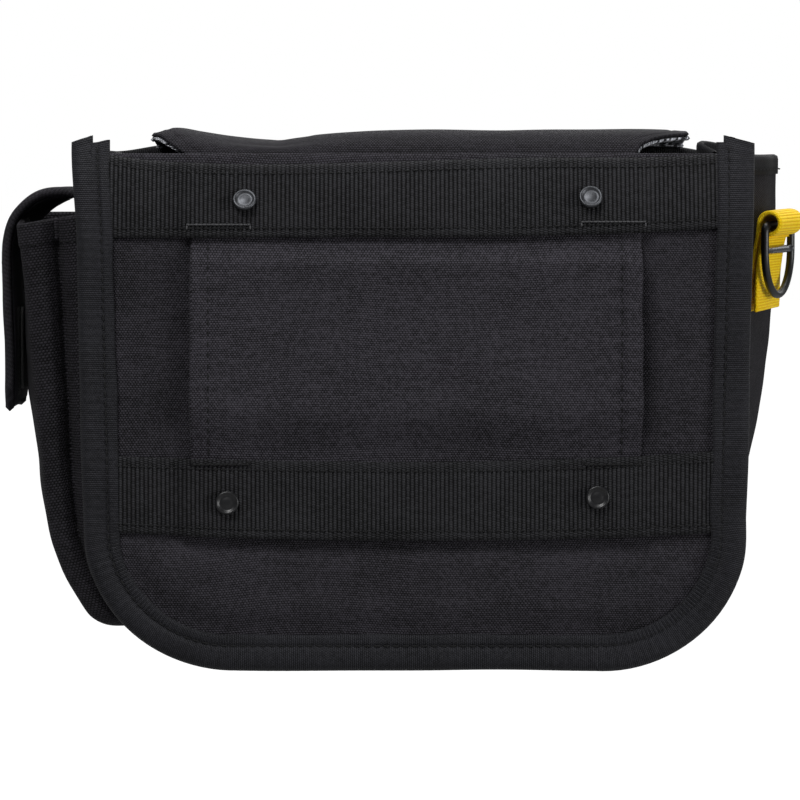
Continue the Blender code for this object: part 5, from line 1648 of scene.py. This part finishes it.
def build_flap_pocket():
    """The zipped pocket on the flap's front: a full panel, zip tape and teeth."""
    low, high = box_mm("flap_pocket_panel")
    x, z = np.meshgrid(spaced(low[0], high[0], 1.3), spaced(low[2], high[2], 1.1))
    to_side = np.minimum(np.minimum(x - low[0], high[0] - x), z - low[2])
    corner = 10.0
    over = np.minimum(0.0, corner - np.hypot(np.maximum(0.0, np.abs(x - 1.5) - (73.5 - corner)),
                                             np.maximum(0.0, low[2] + corner - z)))
    x = x + np.sign(x) * over * 0.7
    z = z - over * 0.7
    swell = quarter(to_side / 6.0) * 0.9 + smooth(to_side / 22.0) * 1.7 * smooth((high[2] - z) / 10.0)
    slack = ripple(x, z, 34.0, 171) * 0.5 + ripple(x, z, 15.0, 172) * 0.18
    y = 98.35 + swell + slack * smooth(to_side / 8.0) * (0.3 + 0.7 * smooth((high[2] - z) / 8.0))
    grid = np.stack([x, y, z], axis=2)
    panel = cloth("flap_pocket_cloth", grid, 0.8, FLAP_CLOTH, uv=warped(x, z, 173), flip=True)
    fit(panel, "flap_front", "black_fabric", "flap_pocket_panel")
    zip_low, zip_high = box_mm("zip_tape")
    middle = (zip_low[2] + zip_high[2]) / 2.0
    halves = (("lower", zip_low[2] - 0.6, middle - 0.25), ("upper", middle + 0.25, zip_high[2]))
    for part, near, far in halves:
        x, z = np.meshgrid(spaced(zip_low[0], zip_high[0], 1.0), spaced(near, far, 0.4))
        y = 98.95 + ripple(x, z, 22.0, 174) * 0.08 + 0.15 * np.exp(-((z - middle) / 1.2) ** 2)
        tape = cloth(f"zip_tape_{part}", np.stack([x, y, z], axis=2), 0.6, EDGE_TAPE, flip=True)
        fit(tape, "flap_front", "black_tape", "zip_tape")
    build_zip_teeth(middle)
    rows = []
    for z_row in (zip_high[2] - 1.0, zip_low[2] - 1.6):
        xs = spaced(zip_low[0] + 1.0, zip_high[0] - 1.0, 1.0)
        line = np.stack([xs, np.full(len(xs), 99.15), np.full(len(xs), z_row)], axis=1)
        rows.append(stitch_row(line, np.broadcast_to((0.0, 1.0, 0.0), line.shape), 2.8, 2.1, 0.23,
                               sink=0.0))
    thread("zip_stitches", rows, BLACK_THREAD, "flap_front")


def build_zip_teeth(middle):
    """Interlocking coil teeth: small rounded staples from each side of the zip in turn."""
    low, high = box_mm("zip_chain")
    verts, faces = [], []
    for k, x in enumerate(spaced(low[0], high[0], 1.35)):
        side = 1.0 if k % 2 else -1.0
        path = resample([(x, 99.5, middle + side * 1.7), (x, 99.95, middle + side * 1.2),
                         (x, 100.15, middle), (x, 99.95, middle - side * 0.9)], 7)
        profile = round_profile(0.46, 7)
        _, across, lift = path_frames(path, up=(1.0, 0.0, 0.0))
        rings = path[:, None, :] + across[:, None, :] * profile[None, :, 0:1]
        rings = rings + lift[:, None, :] * profile[None, :, 1:2]
        base = len(verts)
        verts.extend(rings.reshape(-1, 3).tolist())
        faces.extend(tuple(base + m for m in face) for face in loft_faces(len(path), len(profile)))
    teeth = make_object("zip_teeth", verts, faces, ZIP_PLASTIC)
    fit(teeth, "flap_front", "zip_plastic", "zip_chain")


# ---------------------------------------------------------------- inside

def build_inside():
    """Back lining, slip pocket with its tape, and the tool loops on the front wall."""
    zs = spaced(CORNER_Z - CORNER_RADIUS + 1.8, 61.0, 2.0)
    half = np.array([row_half_width(z, 1.8) for z in zs])
    x = half[:, None] * np.linspace(-1.0, 1.0, 90)[None, :]
    z = np.broadcast_to(zs[:, None], x.shape)
    y = LINING_FRONT + lean(z) + ripple(x, z, 40.0, 180) * 0.12
    lining = cloth("back_lining_cloth", np.stack([x, y, z], axis=2), 0.7, INNER_CLOTH,
                   uv=warped(x, z, 181), flip=True)
    fit(lining, "pouch", "black_fabric", "back_lining")
    low, high = box_mm("inner_pocket")
    zs = spaced(low[2], high[2], 1.4)
    x, z = np.meshgrid(np.linspace(-49.6, 49.6, 100), zs)
    to_side = np.minimum(49.6 - np.abs(x), z - low[2])
    corner = 10.0
    away = np.hypot(np.maximum(0.0, np.abs(x) - (49.6 - corner)), np.maximum(0.0, low[2] + corner - z))
    to_side = np.where(away > 0.0, np.minimum(to_side, corner - away), to_side)
    squeeze = np.maximum(0.0, -np.where(to_side < 0.0, to_side, 0.0))
    x = x - np.sign(x) * squeeze * 0.72
    z = z + squeeze * 0.72
    to_side = np.maximum(to_side, 0.0)
    sag = smooth((z - low[2]) / 60.0) * bump((x + 50.0) / 100.0) * 2.0
    y = LINING_FRONT + 1.3 + quarter(to_side / 7.0) * 6.6 + sag + ripple(x, z, 30.0, 185) * 0.35 * quarter(
        to_side / 9.0)
    grid = np.stack([x, y, z], axis=2)
    pocket = cloth("inner_pocket_cloth", grid, 0.8, INNER_CLOTH, uv=warped(x, z, 186), flip=True)
    fit(pocket, "pouch", "black_fabric", "inner_pocket")
    mouth_tape("inner_pocket_tape_folded", "inner_pocket_tape", grid[-1, 3:-3], (0.0, 1.0, 0.0))
    build_tool_loops()


def build_tool_loops():
    """One strap inside the front, standing off it in three loops for tool shanks."""
    low, high = box_mm("tool_loop_webbing")
    flat, pitch, half_loop, depth = 79.7, 34.0, 13.0, 14.0
    line = [(-pitch * 1.5, flat)]
    for middle in (-pitch, 0.0, pitch):
        line += [(middle - half_loop, flat), (middle - half_loop + 1.5, flat - depth * 0.6),
                 (middle - half_loop + 5.0, flat - depth), (middle, flat - depth - 0.6),
                 (middle + half_loop - 5.0, flat - depth), (middle + half_loop - 1.5, flat - depth * 0.6),
                 (middle + half_loop, flat)]
    line.append((pitch * 1.5, flat))
    line = curve_through(line, 640)
    along = np.concatenate([[0.0], np.cumsum(np.linalg.norm(np.diff(line, axis=0), axis=1))])
    zs = np.linspace(low[2], high[2], 20)
    x = np.broadcast_to(line[:, 0][None, :], (len(zs), len(line)))
    y = np.minimum(np.broadcast_to(line[:, 1][None, :], x.shape), flat)
    z = np.broadcast_to(zs[:, None], x.shape)
    uv = (np.broadcast_to(along[None, :], x.shape), z - low[2])
    strap = cloth("tool_loop_strap", np.stack([x, y, z], axis=2), -1.3, BLACK_WEBBING, uv=uv, flip=True)
    fit(strap, "pouch", "black_tape", "tool_loop_webbing")


# ---------------------------------------------------------------- CAD pieces that stay

def repaint(node, finish):
    """A CAD node keeps its shape and takes a finished material."""
    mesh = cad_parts[node].data
    mesh.materials.clear()
    mesh.materials.append(finish)


# ---------------------------------------------------------------- camera, floor and light

VIEW_X = -0.0047
VIEW_DISTANCE = 1.6
VIEW_HEIGHT = 0.082
AIM_HEIGHT = -0.0157
LENS_MM = 229.7
FLOOR_Z = -0.36
FLOOR_HALF = 9.0
LIGHTS = (("key", (-0.6, -1.1, 1.6), 0.9, 30.0), ("fill", (1.6, -0.8, 0.0), 1.0, 17.0),
          ("top", (0.2, 0.4, 1.6), 1.2, 12.0), ("back", (0.5, 1.6, 0.8), 1.4, 6.0))


def build_stage():
    """A long-lens camera square behind the back, a pale floor and soft studio light."""
    camera = bpy.data.cameras.new("camera")
    camera.sensor_width = 36.0
    camera.lens = LENS_MM
    camera.clip_end = 20.0
    seat = bpy.data.objects.new("camera", camera)
    seat.location = (VIEW_X, -VIEW_DISTANCE, VIEW_HEIGHT)
    aim = Vector((VIEW_X, 0.0, AIM_HEIGHT)) - seat.location
    seat.rotation_euler = aim.to_track_quat("-Z", "Y").to_euler()
    bpy.context.scene.collection.objects.link(seat)
    bpy.context.scene.camera = seat
    mesh = bpy.data.meshes.new("floor")
    corners = [(x, y, FLOOR_Z) for x, y in ((-1, -1), (1, -1), (1, 1), (-1, 1))]
    mesh.from_pydata([(x * FLOOR_HALF, y * FLOOR_HALF, z) for x, y, z in corners], [], [(0, 1, 2, 3)])
    floor = bpy.data.objects.new("floor", mesh)
    bpy.context.scene.collection.objects.link(floor)
    g = Graph("floor_paint")
    x, y, z = g.place()
    cloud = g.noise((x, y, z), 600.0, 2.0)
    paint = g.finish(g.mix(cloud, grey(0.30), grey(0.34)), 0.9, Specular_IOR_Level=0.0)
    g.shader.inputs["Emission Color"].default_value = grey(1.0)
    seen = Field(g, g.node("ShaderNodeLightPath").outputs["Is Camera Ray"])
    g.put(seen * 0.92 + 0.06, g.shader.inputs["Emission Strength"])
    mesh.materials.append(paint)
    for name, place, size, watts in LIGHTS:
        soft_light(name, place, size, watts)
    build_world()
    bpy.context.scene.view_settings.view_transform = "Standard"


def build_world():
    """White surroundings: full white behind the object, dimmer as a light on it."""
    world = bpy.data.worlds.new("studio")
    world.use_nodes = True
    tree = world.node_tree
    shown = tree.nodes["Background"]
    shown.inputs[0].default_value = (1.0, 1.0, 1.0, 1.0)
    shown.inputs[1].default_value = 1.0
    around = tree.nodes.new("ShaderNodeBackground")
    around.inputs[0].default_value = (0.96, 0.97, 1.0, 1.0)
    around.inputs[1].default_value = 0.20
    blend = tree.nodes.new("ShaderNodeMixShader")
    tree.links.new(tree.nodes.new("ShaderNodeLightPath").outputs["Is Camera Ray"], blend.inputs[0])
    tree.links.new(around.outputs[0], blend.inputs[1])
    tree.links.new(shown.outputs[0], blend.inputs[2])
    tree.links.new(blend.outputs[0], tree.nodes["World Output"].inputs[0])
    bpy.context.scene.world = world


def soft_light(name, place, size, watts):
    """A square soft box aimed at the pouch's middle."""
    light = bpy.data.lights.new(name, "AREA")
    light.shape = "SQUARE"
    light.size = size
    light.energy = watts
    lamp = bpy.data.objects.new(name, light)
    lamp.location = place
    aim = Vector((0.0, 0.03, -0.015)) - lamp.location
    lamp.rotation_euler = aim.to_track_quat("-Z", "Y").to_euler()
    bpy.context.scene.collection.objects.link(lamp)


build_back_panel()
build_sleeve()
build_webbing("upper_webbing_strap", "upper_webbing", True)
build_webbing("lower_webbing_strap", "lower_webbing", False)
build_binding()
build_back_stitches()
build_rivets()
build_gusset()
build_side_pocket()
build_side_flap()
build_ring_tab()
build_ring()
build_front_panel()
build_front_pocket("left", -1.0, 200)
build_front_pocket("right", 1.0, 210)
for seed, (name, node, body, finish, facing) in enumerate(PATCHES, 220):
    build_patch(name, node, body, finish, facing, seed)
build_flap()
build_flap_pocket()
build_inside()
repaint("back_stiffener", BOARD)
repaint("zip_slider", ZIP_PLASTIC)
repaint("zip_pull", BLACK_METAL)
build_stage()
